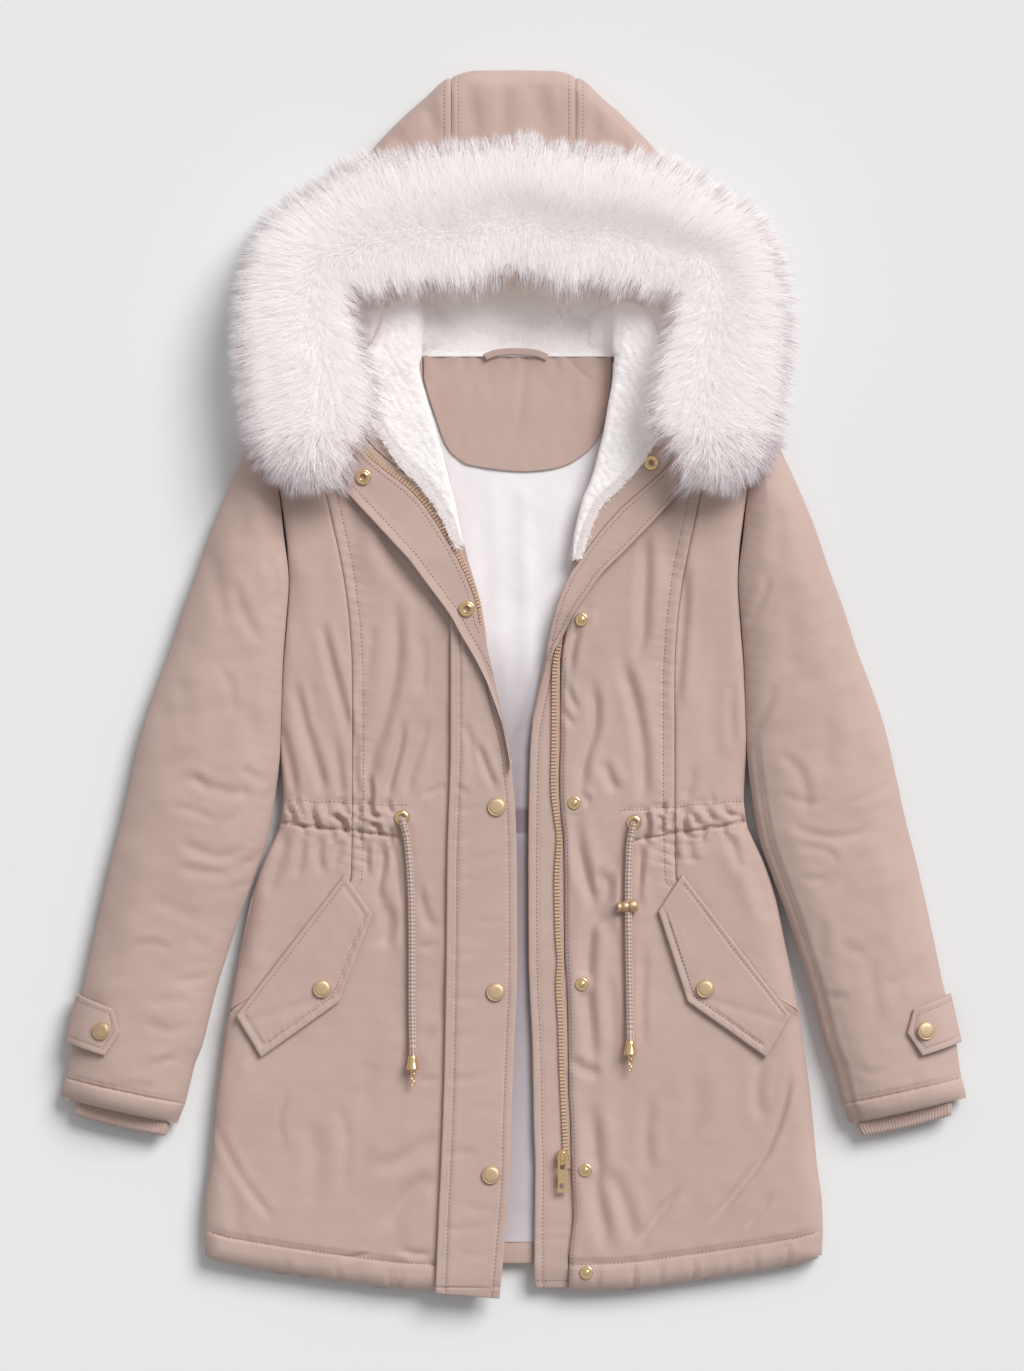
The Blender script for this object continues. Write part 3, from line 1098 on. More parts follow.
def turned_out(name, node, rows, along, lap, lift):
    """The turned out upper part of a strip of doubled cloth; its free edge lifts a little."""
    def sides(x, a, b):
        return (a, b) if x.mean() < 0 else (b, a)

    def top(x, y, a, b, c, d):
        far, near = sides(x, a, b)
        z = lap(x, y) + 4.5 + lift * np.maximum(0, 1 - far / 14) - 1.3 * rounded(np.minimum(a, b), 1.8)
        off_stitch = far - TURNED_STITCH
        z = z - 0.8 * dent(off_stitch, 1.2) + 0.3 * uneven(x, y, 30, 9)
        z = z - 0.3 * rippled(x, y, np.abs(off_stitch), 6, 9, 2)
        return z - 0.6 * dent(near - 4, 1.0) - 0.8 * rounded(c, 2)

    def underside(x, y, a, b, c, d):
        return lap(x, y) + lift * np.maximum(0, 1 - sides(x, a, b)[0] / 14)

    return worn(laid(name, cotton.material, rows, 22, along, top, underside), "shell_cotton", node)


turn_right = beside(teeth_right, -2.8)[:19] + list(ROLL_RIGHT)
turn_left = along_line(FREE_RIGHT, len(turn_right))
flap_turn = turned_out("turned_flap", "storm_flap_turnback", pairs(turn_left, turn_right), 130, lap_right, 3.0)
sewn("turned_flap_stitches", [beside(turn_left, TURNED_STITCH), beside(turn_right[:20], -4)], [flap_turn])

plush = Finish("plush_fleece", 0.95, Sheen_Weight=0.3, Emission_Color=tone(255, 246, 244), Emission_Strength=0.085)
nap = plush.noise(170.0, 4.0, 0.7)
nap_fine = plush.noise(900.0, 2.0)
deep_in_hood = ((plush.part(plush.place(), 1) - 0.338) * 34.0).clamped()
plush_white = plush.mix((nap * 1.2 - 0.1).clamped(), tone(236, 229, 227), tone(250, 245, 243))
plush.colour(plush.mix(deep_in_hood, plush_white, tone(226, 206, 192)))
plush.bump(nap * 1.4 + nap_fine * 0.5, 0.5, 0.0022)


def napped(x, y):
    """Clumps of the plush pile."""
    return (
        0.45 * np.sin(x / 1.9 + 1.3 * np.sin(y / 3.1)) * np.sin(y / 2.2 + 1.7 * np.sin(x / 4.3))
        + 0.5 * uneven(x, y, 13, 4)
    )


def fleeced(name, node, rows, lap):
    """A turned out facing of plush, fuller where it rolls up at the neck."""
    def top(x, y, a, b, c, d):
        rim = np.minimum(a, b)
        full = 7.6 + 5 * ramp(y, 262, 318)
        z = full - (full - 3.6) * rounded(np.minimum(rim, c), 7 + 9 * ramp(y, 262, 318))
        return lap(x, y) + z + 0.8 * napped(x, y) * ramp(rim, 0, 3) + 0.5 * uneven(x, y, 40, 3)

    facing = worn(laid(name, plush.material, rows, 44, 150, top, lap), "plush_fleece", node)


fleece_outer = [(-142, 302), (-141, 278)] + beside(bound_right, 0.15) + [(-47.6, 128)]
ROLL_TOP = (
    (97, 356.3, 90, 356.3), (108, 353, 86, 354), (118, 346, 83.5, 348), (123, 334, 83, 336), (128, 320, 83, 321),
    (134, 309, 83.5, 309),
)
fleeced(
    "right_fleece", "fleece_facing_right",
    [(-a, b, -c, d) for a, b, c, d in ROLL_TOP] + pairs(fleece_outer, along_line(FLEECE_RIGHT, 19)), lap_right,
)


def fibres(name, corners, sizes, numbers, materials, shades=None):
    """Many small faces from arrays: corners in millimetres, each face's count of corners, and their numbers."""
    data = bpy.data.meshes.new(name)
    data.vertices.add(len(corners))
    data.vertices.foreach_set("co", (corners * MM).ravel())
    data.loops.add(len(numbers))
    data.loops.foreach_set("vertex_index", numbers.astype(np.int32))
    data.polygons.add(len(sizes))
    data.polygons.foreach_set("loop_start", (np.cumsum(sizes) - sizes).astype(np.int32))
    if shades is not None:
        data.polygons.foreach_set("material_index", shades.astype(np.int32))
    data.update(calc_edges=True)
    return surfaced(name, data, *materials)


PILE_COUNT = 5200
PILE_DEEP = 7.0


def fringed(name, line, lap, seed):
    """The pile that stands out past the fleece's edge, to the right of the line's direction."""
    dice = np.random.default_rng(seed)
    path = along_line(line, 60)
    out = beside(path, -1.0)
    count = PILE_COUNT
    k = dice.random(count) * 58
    i = k.astype(int)
    f = (k - i)[:, None]
    path, out = np.array(path), np.array(out)
    root = path[i] * (1 - f) + path[i + 1] * f
    way = (out - path)[i]
    aim = way + 0.55 * dice.normal(size=(count, 2)) + np.array([0.0, -0.35])
    aim /= np.hypot(aim[:, 0], aim[:, 1])[:, None]
    back = dice.random(count) ** 1.5 * PILE_DEEP
    root = root - way * back[:, None]
    rise = lap(root[:, 0], root[:, 1]) + 4.0 + 4.0 * np.sqrt(1 - (1 - np.minimum(1, back / PILE_DEEP)) ** 2)
    long = dice.uniform(3.5, 8.5, count)
    tip = root + aim * long[:, None]
    wide = np.stack([-aim[:, 1], aim[:, 0]], 1) * dice.uniform(0.14, 0.24, count)[:, None]
    drop = np.where(back < 2, 1.6, -1.2) * dice.random(count)
    corners = [np.c_[root - wide, rise], np.c_[root + wide, rise], np.c_[tip, rise - drop]]
    fringe = fibres(
        name, np.stack(corners, axis=1).reshape(-1, 3), np.full(count, 3), np.arange(3 * count), [plush.material],
    )
    worn(fringe, "plush_fleece")


fringed("right_fleece_pile", list(reversed(fleece_outer)), lap_right, 5)

# Zip guard: a strip of doubled shell cloth inside the left opening with the closed side's teeth, which end at
# the slider; above the waist it is turned outward over the left front.
GUARD_EDGE = (
    (80, 43.9), (61, 38), (42, 33.7), (26, 31), (3, 25.4), (-14, 21.7), (-38, 17), (-68, 14.8), (-162, 13.3),
    (-259, 13.7), (-291, 15), (-323, 16.7), (-364, 17.7), (-405, 18.3), (-445, 19.7), (-486, 19.3), (-526, 19),
    (-549, 18.8), (-556, 20),
)
GUARD_ROWS = (
    78, 61, 41, 18, 3, -14, -38, -51, -68, -90, -124, -142, -162, -200, -254, -278, -329, -364, -411, -445, -479,
    -506, -533, -545, -556,
)


def guard_floor(x, y, *rest):
    return FRONT_FLOOR - 0.25 * np.maximum(0, -y - 537)


def guard_height(x, y, a, b, c, d):
    z = guard_floor(x, y) + 6.1 - 1.4 * rounded(a, 1.8) - 0.8 * dent(a - 8, 1.2) + 0.2 * uneven(x, y, 30, 5)
    z = z - 0.6 * dent(y + 500, 2) - 0.6 * dent(y + 511, 2) - 0.7 * dent(d - 7, 1.2) - 0.6 * rounded(d, 1.8)
    z = z - 0.3 * rippled(x, y, np.abs(a - 8), 6, 9, 6)
    return np.minimum(z, guard_floor(x, y) + 6.3)


def lap_left(x, y, *rest):
    """The level the turned out left opening lies on; it sinks into the opening below."""
    return LAY - 5.5 * np.clip((66 - y) / 26, 0, 1)


guard_rows = [(float(tuned(GUARD_EDGE, y)), y, float(tuned(INNER_LEFT, y)) - 1.3, y) for y in GUARD_ROWS]
guard = laid("guard_strip", cotton.material, guard_rows, 22, 230, guard_height, guard_floor)
worn(guard, "shell_cotton", "zip_guard")
sewn("guard_stitches", [
    beside([(r[0], r[1]) for r in guard_rows], 8), [(x, -549) for x in np.linspace(22, 50, 9)],
], [guard])

TEETH_LEFT = (
    (35, 42), (13, 38), (-51, 37.4), (-97, 36.8), (-124, 40), (-142, 42), (-180, 40), (-232, 41), (-254, 42.6),
    (-278, 41.5), (-310, 43.4), (-355, 44.6), (-429, 48), (-552, 49),
)
TAPE_ROWS = (35, 18, -14, -51, -90, -124, -142, -180, -232, -254, -278, -329, -364, -411, -429, -446)
tape_left = laid(
    "left_zip_tape", tape.material,
    [(float(tuned(TEETH_LEFT, y)) - 2.6, y, float(tuned(INNER_LEFT, y)) - 1.3, y) for y in TAPE_ROWS], 8, 100,
    lambda x, y, a, b, c, d: guard_floor(x, y) + 7.7 - 0.2 * rounded(np.minimum(a, b), 0.8),
    lambda x, y, *rest: guard_floor(x, y) + 6.5, rim=(0, 0.3, 0.8),
)
worn(tape_left, "zip_tape", "zip_tape_left")

BOUND_LEFT = ((133, 240), (119, 213), (100, 190), (77.7, 170), (68.5, 153), (61.7, 134), (57, 116))
INNER_SEAM = ((150, 214), (137.5, 196), (119, 179), (100, 163), (81, 142), (67, 123), (59, 111))
ROLL_LEFT = ((53, 102), (43.7, 82), (37, 61), (32.7, 42), (30, 26), (24.4, 3), (20.7, -14), (16.9, -36))
bound_left = along_line(BOUND_LEFT, 14)
inner_seam = along_line(INNER_SEAM, 14)
fleece_in = along_line(
    ((92.5, 302), (90.6, 279), (82, 229), (72, 190), (63, 170), (58, 149), (54.7, 134), (54, 113)), 17,
)
fleece_out = [(141, 302), (140, 268)] + beside(bound_left, -0.15) + [(55.6, 113)]
fleeced(
    "left_fleece", "fleece_facing_left",
    [(c + 7, d - 4, a + 8, b - 4) for a, b, c, d in ROLL_TOP] + pairs(fleece_in, fleece_out), lap_left,
)
fringed("left_fleece_pile", fleece_out, lap_left, 6)
faced("left_facing", "facing_left", pairs(beside(bound_left, 0.15), beside(inner_seam, -0.15)), lap_left, 3.4)
turn_in = beside(inner_seam, 0.15) + list(ROLL_LEFT)
turn_out = along_line(FREE_LEFT, len(turn_in))
guard_turn = turned_out("turned_guard", "zip_guard_turnback", pairs(turn_in, turn_out), 120, lap_left, 4.0)
sewn("turned_guard_stitches", [beside(turn_in, 4), beside(turn_out, -4)], [guard_turn])

# Zip teeth: brass, each a small block with bevelled edges, crimped over the tape's corded edge, 3.2 mm from
# one to the next. The left row ends at the slider.
brass = Finish("zip_brass", 0.32, 0.5)
brass.colour(brass.mix(brass.noise(500.0), tone(230, 192, 152), tone(252, 226, 194)))
TOOTH = (1.3, 5.0, 2.2)
TOOTH_PITCH = 3.2
for name, line, tape_top in (
    ("right_teeth", TEETH_RIGHT, lambda x, y: float(lap_right(x, y)) + 2.2),
    ("left_teeth", [(x, y) for y, x in TEETH_LEFT if y > -430], lambda x, y: float(guard_floor(x, y)) + 7.7),
):
    tooth = bmesh.new()
    bmesh.ops.create_cube(tooth, size=1.0)
    bmesh.ops.scale(tooth, vec=TOOTH, verts=tooth.verts[:])
    level_edges = [e for e in tooth.edges if abs(e.verts[0].co.z - e.verts[1].co.z) < 0.1]
    bmesh.ops.bevel(tooth, geom=level_edges, offset=0.35, segments=1, profile=0.5, affect="EDGES", material=-1)
    places = [
        Matrix.Translation((x, y, tape_top(x, y) + 0.55)) @ Matrix.Rotation(angle, 4, "Z")
        for x, y, angle in resampled(eased(line, 4), TOOTH_PITCH)
    ]
    worn(repeated(name, tooth, places, brass.material, smooth=False), "bright_gold")

# Pocket flaps: doubled shell cloth with five corners over slanted pockets, sewn on along the upper edge,
# stitched round the border and held down by a snap.
POCKET_STITCH = 7.5
for side, suffix, corner in ((-1, "right", (-129, -212)), (1, "left", (133, -209))):
    border = along_line((corner, (side * 160, -292), (side * 232, -343)), 57)
    sewn_edge = along_line(((side * 155, -175), (side * 255, -305)), 57)
    pocket = laid(
        "pocket_flap_" + suffix + "_cloth", cotton.material, pairs(border, sewn_edge), 40, 90,
        lambda x, y, a, b, c, d: LAY + 4.4 - 1.4 * rounded(np.minimum(np.minimum(a, b), np.minimum(c, d)), 1.9)
        - 1.5 * dent(np.minimum(np.minimum(a, b * 1.6), np.minimum(c, d)) - POCKET_STITCH, 1.3)
        + 0.4 * uneven(x, y, 33, 4) - 0.4 * rippled(y, x, np.abs(a - POCKET_STITCH), 5, 8, 2)
        - 1.0 * dent(x * 0.3 * side + y + 236, 5) * ramp(-a, -50, -20),
        LAY,
    )
    worn(pocket, "shell_cotton", "pocket_flap_" + suffix)
    fronts["front_" + suffix]
    stitch_lines = [beside(border, side * POCKET_STITCH)[4:-4], beside(sewn_edge, -side * 4.5)[3:-3]]
    sewn("pocket_stitches_" + suffix, stitch_lines, [pocket])

# Sleeves: padded, two seams, the upper half crowned over the lower; the cuff is turned up, stitched and set
# over a ribbed knit cuff.
SLEEVE = (
    (243, 222, 226, 214), (259, 188, 215.5, 178), (276, 148, 211, 136.5), (289, 110, 206.5, 95),
    (303, 72, 209.2, 54.5), (316, 32, 212, 14), (330, -5, 213.2, -24), (342, -41, 214.5, -62),
    (352, -84, 219, -102), (361, -125, 226, -142), (371, -164, 238, -177), (380, -203, 251, -212),
    (388, -240, 263, -248), (395, -274, 274, -284), (400, -296, 280, -308), (406, -318, 286, -332),
    (408.6, -336, 293, -350), (410.4, -350, 298, -370), (412.6, -362, 302, -386), (415.5, -373, 306, -396),
    (417, -381, 309, -405),
)
FOLDS_SLEEVE = {
    -1: (
        (5, 2.8, (-307, -84), (-286, -88), (-258, -98), (-236, -95)),
        (4, 2.4, (-262, -128), (-250, -117), (-243, -104), (-248, -88)),
        (4, 3.0, (-230, -106), (-220, -98), (-215, -82)), (4, 2.2, (-314, -110), (-286, -117), (-270, -125)),
        (5, 2.8, (-308, -140), (-286, -152), (-266, -157), (-238, -147)),
        (5, 2.6, (-310, -166), (-276, -171), (-256, -173)), (4, 3.4, (-248, -166), (-236, -158), (-228, -148)),
        (4, 2.4, (-256, -189), (-240, -180), (-236, -176)), (4, 1.8, (-348, -239), (-328, -236), (-310, -244)),
        (4, 2.0, (-308, -274), (-293, -269), (-274, -267)), (5, 2.0, (-334, -293), (-312, -288), (-290, -291)),
        (5, 2.2, (-338, -307), (-314, -316), (-291, -311)), (4, 2.2, (-332, -349), (-318, -344), (-305, -342)),
        (4, 2.4, (-366, -368), (-347, -366), (-318, -373)), (12, 2.6, (-384, -226), (-364, -187), (-356, -144)),
        (6, 3.2, (-255, 104), (-249, 76), (-237, 52), (-224, 36)),
        (8, 2.8, (-282, 134), (-267, 90), (-261, 56)), (5, 3.6, (-222, 120), (-217, 96), (-216, 66)),
        (9, 2.6, (-305, 14), (-296, -21), (-299, -54)), (4, 2.4, (-250, -72), (-238, -83), (-218, -89)),
        (4, 2.4, (-294, -78), (-282, -94), (-272, -100)), (12, 2.4, (-326, -4), (-312, -40), (-316, -84)),
        (5, 1.8, (-270, 20), (-258, 0), (-254, -30)), (7, 2.0, (-246, -10), (-236, -36), (-238, -66)),
        (6, 1.8, (-330, -196), (-310, -204), (-286, -214)), (5, 1.6, (-296, -226), (-284, -238), (-270, -240)),
        (9, 2.0, (-392, -270), (-384, -300), (-388, -340)), (8, 2.0, (-252, 176), (-246, 150), (-250, 128)),
    ),
    1: (
        (4, 3.2, (209, 54), (222, 66), (233, 88), (236, 104)),
        (5, 3.8, (244, 4), (234, -20), (224, -37), (214, -52)),
        (5, 2.6, (240, -58), (262, -75), (271, -100), (267, -122)),
        (4, 2.2, (352, -86), (342, -94), (308, -110)),
        (4, 2.4, (250, -122), (274, -136), (304, -139), (334, -130)),
        (4, 2.0, (258, -146), (290, -152), (300, -168)), (4, 2.2, (263, -175), (276, -178), (290, -177)),
        (4, 2.0, (245, -98), (274, -109), (292, -102)), (4, 2.0, (290, -288), (300, -286), (310, -287)),
        (7, 2.4, (329, -240), (332, -272), (338, -312)), (9, 2.4, (262, 70), (258, 40), (262, 10)),
        (10, 2.4, (300, 96), (306, 40), (298, -6)), (8, 2.2, (300, -30), (290, -52), (294, -80)),
        (6, 1.8, (330, -150), (312, -164), (300, -186)), (5, 1.8, (366, -262), (352, -272), (338, -270)),
        (4, 2.0, (316, -350), (330, -356), (346, -352)), (9, 2.0, (372, -190), (362, -220), (366, -256)),
        (8, 2.4, (246, 170), (248, 140), (244, 110)), (5, 2.0, (372, -372), (350, -376), (330, -384)),
        (5, 1.6, (300, -230), (312, -242), (328, -246)), (11, 2.4, (330, -10), (322, -50), (328, -92)),
        (6, 2.0, (280, -206), (286, -228), (282, -250)),
    ),
}
TAB_FLOOR = ((-4, 13), (-1.4, 14), (1.6, 26.8), (5, 30.8), (9, 34.5), (14, 37.5), (21, 40), (30, 41.4), (60, 41.4))
TAB_TOP = ((-4, 23), (-1.8, 27.5), (1.6, 31.4), (5, 34.4), (9, 37.6), (14, 40.3), (21, 42.6), (30, 44), (60, 44))
knit = Finish("rib_knit", 0.95, Sheen_Weight=0.3)
knit_row = knit.noise(700.0, 3.0)
knit.colour(knit.mix((knit_row * 1.2 - 0.1).clamped(), tone(184, 156, 146), tone(206, 180, 170)))
knit.bump(knit_row, 0.4, 0.0005)


def wrapped(name, material, rings):
    """A closed form through rings of equal count, an array of (ring, point, xyz) in millimetres."""
    rings = np.array(rings, float)
    turns, count = rings.shape[:2]
    mesh = bmesh.new()
    bmesh.ops.create_grid(mesh, x_segments=count, y_segments=turns - 1, size=0.5)
    for vertex in mesh.verts:
        i = round((vertex.co.x + 0.5) * count) % count
        j = round((0.5 - vertex.co.y) * (turns - 1))
        vertex.co = rings[j, i]
    bmesh.ops.remove_doubles(mesh, verts=mesh.verts[:], dist=1e-5)
    for ring in (rings[0], rings[-1]):
        near = {tuple(np.round(p, 3)) for p in ring}
        loop = [e for e in mesh.edges if e.is_boundary and all(tuple(np.round(v.co, 3)) in near for v in e.verts)]
        if loop:
            bmesh.ops.contextual_create(mesh, geom=loop)
    bmesh.ops.recalc_face_normals(mesh, faces=mesh.faces[:])
    if mesh.calc_volume(signed=True) < 0:
        bmesh.ops.reverse_faces(mesh, faces=mesh.faces[:])
    return finished(name, mesh, material)


CUFF_STITCH = 19.5
KNIT_WIDE = 85
KNIT_RIB = 2.8
KNIT_POINTS = 344
KNIT_SECTIONS = (
    ((399, -343), (311, -358), 4.6), ((401.5, -366), (313, -384), 4.8), ((404, -385), (317, -408), 4.9),
    ((403.9, -393), (319.5, -413), 4.8), ((403.4, -397), (321, -416), 4.3),
)


def side_rows(side, outer, inner):
    """Rows from an outer to an inner line on the wearer's right, and from the inner one on the left."""
    return pairs(outer, inner) if side < 0 else pairs(inner, outer)


def knit_rings(side):
    """A flat tube of knitted ribs, turned in at its open end: its outside down to the opening, then its inside."""
    turn = np.linspace(0, math.tau, KNIT_POINTS, endpoint=False)
    across = 0.5 - 0.5 * np.cos(turn)
    upper_or_lower = np.sign(np.round(np.sin(turn), 6))
    made = []
    for inside in (False, True):
        for (x0, y0), (x1, y1), thick in (reversed(KNIT_SECTIONS[1:]) if inside else KNIT_SECTIONS):
            half = thick - (3.2 if inside else 0)
            inset = 3.5 if inside else 0
            f = inset / KNIT_WIDE + across * (1 - 2 * inset / KNIT_WIDE)
            near = np.minimum(across, 1 - across) * KNIT_WIDE
            h = half * np.sqrt(np.maximum(0.0, 1 - (1 - np.minimum(1, near / 5)) ** 2)) * upper_or_lower
            rib = 1 - 0.2 * (0.5 + 0.5 * np.cos(f * KNIT_WIDE * math.tau / KNIT_RIB)) * (0 if inside else 1)
            made.append(np.c_[
                side * (x0 + (x1 - x0) * f), y0 + (y1 - y0) * f - 1.6 * np.sin(math.pi * f), 15 + h * rib,
            ])
    return made


def mouth(a, b, d):
    """1 in the sleeve's open end, where the cuff goes in."""
    return ramp(-d, -48, -45) * ramp(np.minimum(a, b), 4.2, 5.4)


for side, suffix in ((-1, "right"), (1, "left")):
    sleeve_rows = side_rows(
        side, [(side * a, b) for a, b, c, d in SLEEVE], [(side * (c + 0.3), d) for a, b, c, d in SLEEVE],
    )

    def sleeve_height(x, y, a, b, c, d):
        outer, inner = (a, b) if side < 0 else (b, a)
        far = np.clip((-y - 20) / 80, 0, 1)
        across = outer / np.maximum(outer + inner, 1)
        peak = 40.4 - 6 * rounded(np.maximum(0, 214 - y), 90) + 0.9 * uneven(x, y, 60, 3)
        peak = peak + 0.35 * uneven(x, y, 22, 7)
        peak = peak - 7 * (across - 0.52) ** 2 * 4
        drop = np.maximum(
            (peak - 16.3) * rounded(outer, 40), (peak - 23 + 6.7 * far) * rounded(inner, 26 + 10 * far),
        )
        soft = 1 - np.minimum(1, drop / 20)
        turn_up = 3.2 * dent(d - CUFF_STITCH, 1.0) + 1.4 * dent(d - 22, 2.6) - 0.4 * dent(d - 12, 6)
        drop = drop + 11.5 * rounded(d, 16) + turn_up * soft
        drop = drop + 0.5 * rippled(y, x, np.abs(d - CUFF_STITCH), 7, 9.5, 2) * soft
        fold = creased(x, y, FOLDS_SLEEVE[side])
        drop = drop - 0.55 * fold * (0.35 + 0.65 * soft) * (1 - 0.6 * ramp(-d, -46, -20))
        if side > 0:
            drop = drop + (2.4 * dent(inner - 9.5, 1.5) - 1.0 * dent(inner - 13, 3)) * ramp(-y, 40, 75)
        drop = drop + 0.7 * rippled(x, y, inner, 10, 11, 4) * soft
        floor = np.where((d > 48) | (np.minimum(a, b) < 4.6), 16.3, 21.6)
        return np.maximum(peak - drop, floor)

    sleeve = laid(
        "sleeve_" + suffix + "_upper", cotton.material, sleeve_rows, 48, 230, sleeve_height, None,
        under=lambda x, y, a, b, c, d: 15.3 + 5 * mouth(a, b, d), fine=((20.5, 5),),
    )
    worn(sleeve, "shell_cotton", "sleeve_%s_top" % suffix)

    def under_lift(x, y, a, b, c, d):
        outer, inner = (a, b) if side < 0 else (b, a)
        lift = np.maximum(13 * rounded(outer, 16), 13 * ramp(-y, 30, 100) * rounded(inner, 16))
        return np.minimum(np.maximum(lift, 5 * rounded(d, 12)), 13.5 - 4.9 * mouth(a, b, d))

    lower = laid(
        "sleeve_" + suffix + "_lower", cotton.material, sleeve_rows, 26, 120,
        lambda x, y, a, b, c, d: 15.0 - 5.3 * mouth(a, b, d), None, under=under_lift,
    )
    worn(lower, "shell_cotton", "sleeve_%s_under" % suffix)
    sewn("sleeve_stitches_" + suffix, [
        [(side * (411.6 + (302 - 411.6) * f), -362.5 + (-386 + 362.5) * f) for f in np.linspace(0.03, 0.97, 40)],
    ], [sleeve])

    cuff = wrapped("rib_cuff_" + suffix + "_knit", knit.material, knit_rings(side))
    worn(cuff, "rib_knit", "rib_cuff_" + suffix)

    # Cuff tab: doubled cloth with a pointed end, sewn into the outer seam and snapped down.
    tab_outer = along_line(((side * 402.4, -285), (side * 412.4, -329)), 41)
    tab_inner = along_line(((side * 367, -298), (side * 361, -320), (side * 375, -341)), 41)

    def from_seam(x, y):
        """How far from the sleeve's outer seam a spot lies."""
        return tuned([(b, a) for a, b, c, d in SLEEVE], y) - np.abs(x)

    def tab_height(x, y, a, b, c, d):
        edge = np.minimum(b if side < 0 else a, np.minimum(c, d))
        return tuned(TAB_TOP, from_seam(x, y)) - 1.0 * rounded(edge, 1.8) - 0.7 * dent(edge - 6, 1.1)

    tab = laid(
        "cuff_tab_" + suffix + "_cloth", cotton.material, side_rows(side, tab_outer, tab_inner), 40, 44, tab_height,
        None, rim=(0, 0.4, 1, 1.8), under=lambda x, y, *rest: tuned(TAB_FLOOR, from_seam(x, y)),
    )
    worn(tab, "shell_cotton", "cuff_tab_" + suffix)
    inset_line = [
        (side * x, y) for x, y in ((402, -291.5), (370, -303.5), (367.5, -319.6), (377, -334), (404, -325))
    ]
    sewn("tab_stitches_" + suffix, [inset_line], [tab], stitch=2.0, gap=0.8)

# Hood: three padded panels with topstitched seams, laid out beyond the neck and folded over to its opening;
# inside it, plush fleece that rolls up at the sides of the neck.
CROWN = ((0, 565), (35, 564.4), (60, 558), (82, 539), (100, 523), (130, 492), (150, 466), (170, 430))
MOUTH = ((0, 408), (57, 405), (95, 395), (130, 375), (150, 345), (170, 322))
HOOD_FOLDS = (
    (9, 2.6, (-40, 562), (-34, 530), (-30, 500)), (11, 2.4, (22, 562), (30, 535), (34, 505)),
    (8, 1.8, (-4, 556), (-8, 500)), (7, 2.4, (-78, 538), (-66, 500)), (8, 2.2, (80, 540), (74, 500)),
    (7, 2.0, (-108, 512), (-92, 486)), (7, 2.0, (106, 514), (98, 488)), (6, 1.6, (46, 556), (50, 520)),
)
HOOD_STEPS = (2, 6, 8, 3, 3, 3, 3, 3, 3, 3, 3, 10, 22, 2, 4, 2, 4, 4, 2, 2, 2, 2, 2, 2, 2, 2, 4, 2, 3)


HOOD_SEAM = 57.15
HOOD_SEAM_STITCH = 6.5


def hood_ring(x):
    """The hood's outline where it is cut along the coat: its back, the fold of the crown, its front, its inside."""
    ax = abs(x)
    crown, opening = float(tuned(CROWN, ax)), float(tuned(MOUTH, ax))
    away = abs(ax - HOOD_SEAM)
    seam = 2.5 * max(0.0, 1 - away / 5) ** 2 + 0.8 * math.exp(-(((away - HOOD_SEAM_STITCH) / 1.3) ** 2))
    low = 304.2 if ax > 87 else 303.3
    ring = [(low, 0), (crown - 60, 0), (crown - 23, 0)]
    for i in range(1, 8):
        angle = math.pi * i / 8
        radius = 23 - seam * math.sin(angle)
        ring.append((crown - 23 + radius * math.sin(angle), 23 - radius * math.cos(angle)))
    ring += [(crown - 23, 46 - seam), (crown - 50, 46 - seam * 0.6), (opening + 4, 46), (opening, 44)]
    ring += [(opening, 36), (opening + 4, 34), (crown - 50, 34), (crown - 23, 34)]
    for i in range(7, 0, -1):
        angle = math.pi * i / 8
        ring.append((crown - 23 + 11 * math.sin(angle), 23 - 11 * math.cos(angle)))
    ring += [(crown - 23, 12), (crown - 60, 12), (low, 12)]
    made = []
    for (y0, z0), (y1, z1), steps in zip(ring, ring[1:] + ring[:1], HOOD_STEPS):
        for k in range(steps):
            f = k / steps
            made.append((x, y0 + (y1 - y0) * f, z0 + (z1 - z0) * f))
    return made


HOOD_OUTSIDE = sum(HOOD_STEPS[:12])
hood_panels = []
for name, node, start, end in (
    ("hood_middle", "hood_centre", -57, 57), ("hood_left", "hood_side_left", 57.3, 170),
    ("hood_right", "hood_side_right", -170, -57.3),
):
    stations = start + spread(48, end - start, (0, 0.5, 1.2, 2.2, 3.4, 5.0, 6.5, 8.0))
    rings = np.array([hood_ring(x) for x in stations])
    outside = rings[:, :HOOD_OUTSIDE]
    middle_y = np.array([float(tuned(CROWN, abs(x))) - 23 for x in stations])[:, None]
    x, y, z = outside[..., 0], outside[..., 1], outside[..., 2]
    up = ramp(z, 10, 30)
    change = (creased(x, y, HOOD_FOLDS) + 0.5 * uneven(x, y, 40, 5) - 0.5) * up
    out = np.clip((y - middle_y) / 23, 0, 1)
    outside[..., 1] += np.minimum(change * out, 0.6)
    outside[..., 2] += np.minimum(change * (1 - 0.6 * out), 0.25)
    panel = wrapped(name, cotton.material, rings)
    worn(panel, "shell_cotton", node)
    hood_panels.append(panel)
sewn("hood_stitches", [
    [(side * (HOOD_SEAM + away), y) for y in np.linspace(563 - 0.05 * away, 440, 60)]
    for side in (-1, 1) for away in (-HOOD_SEAM_STITCH, HOOD_SEAM_STITCH)
], hood_panels)


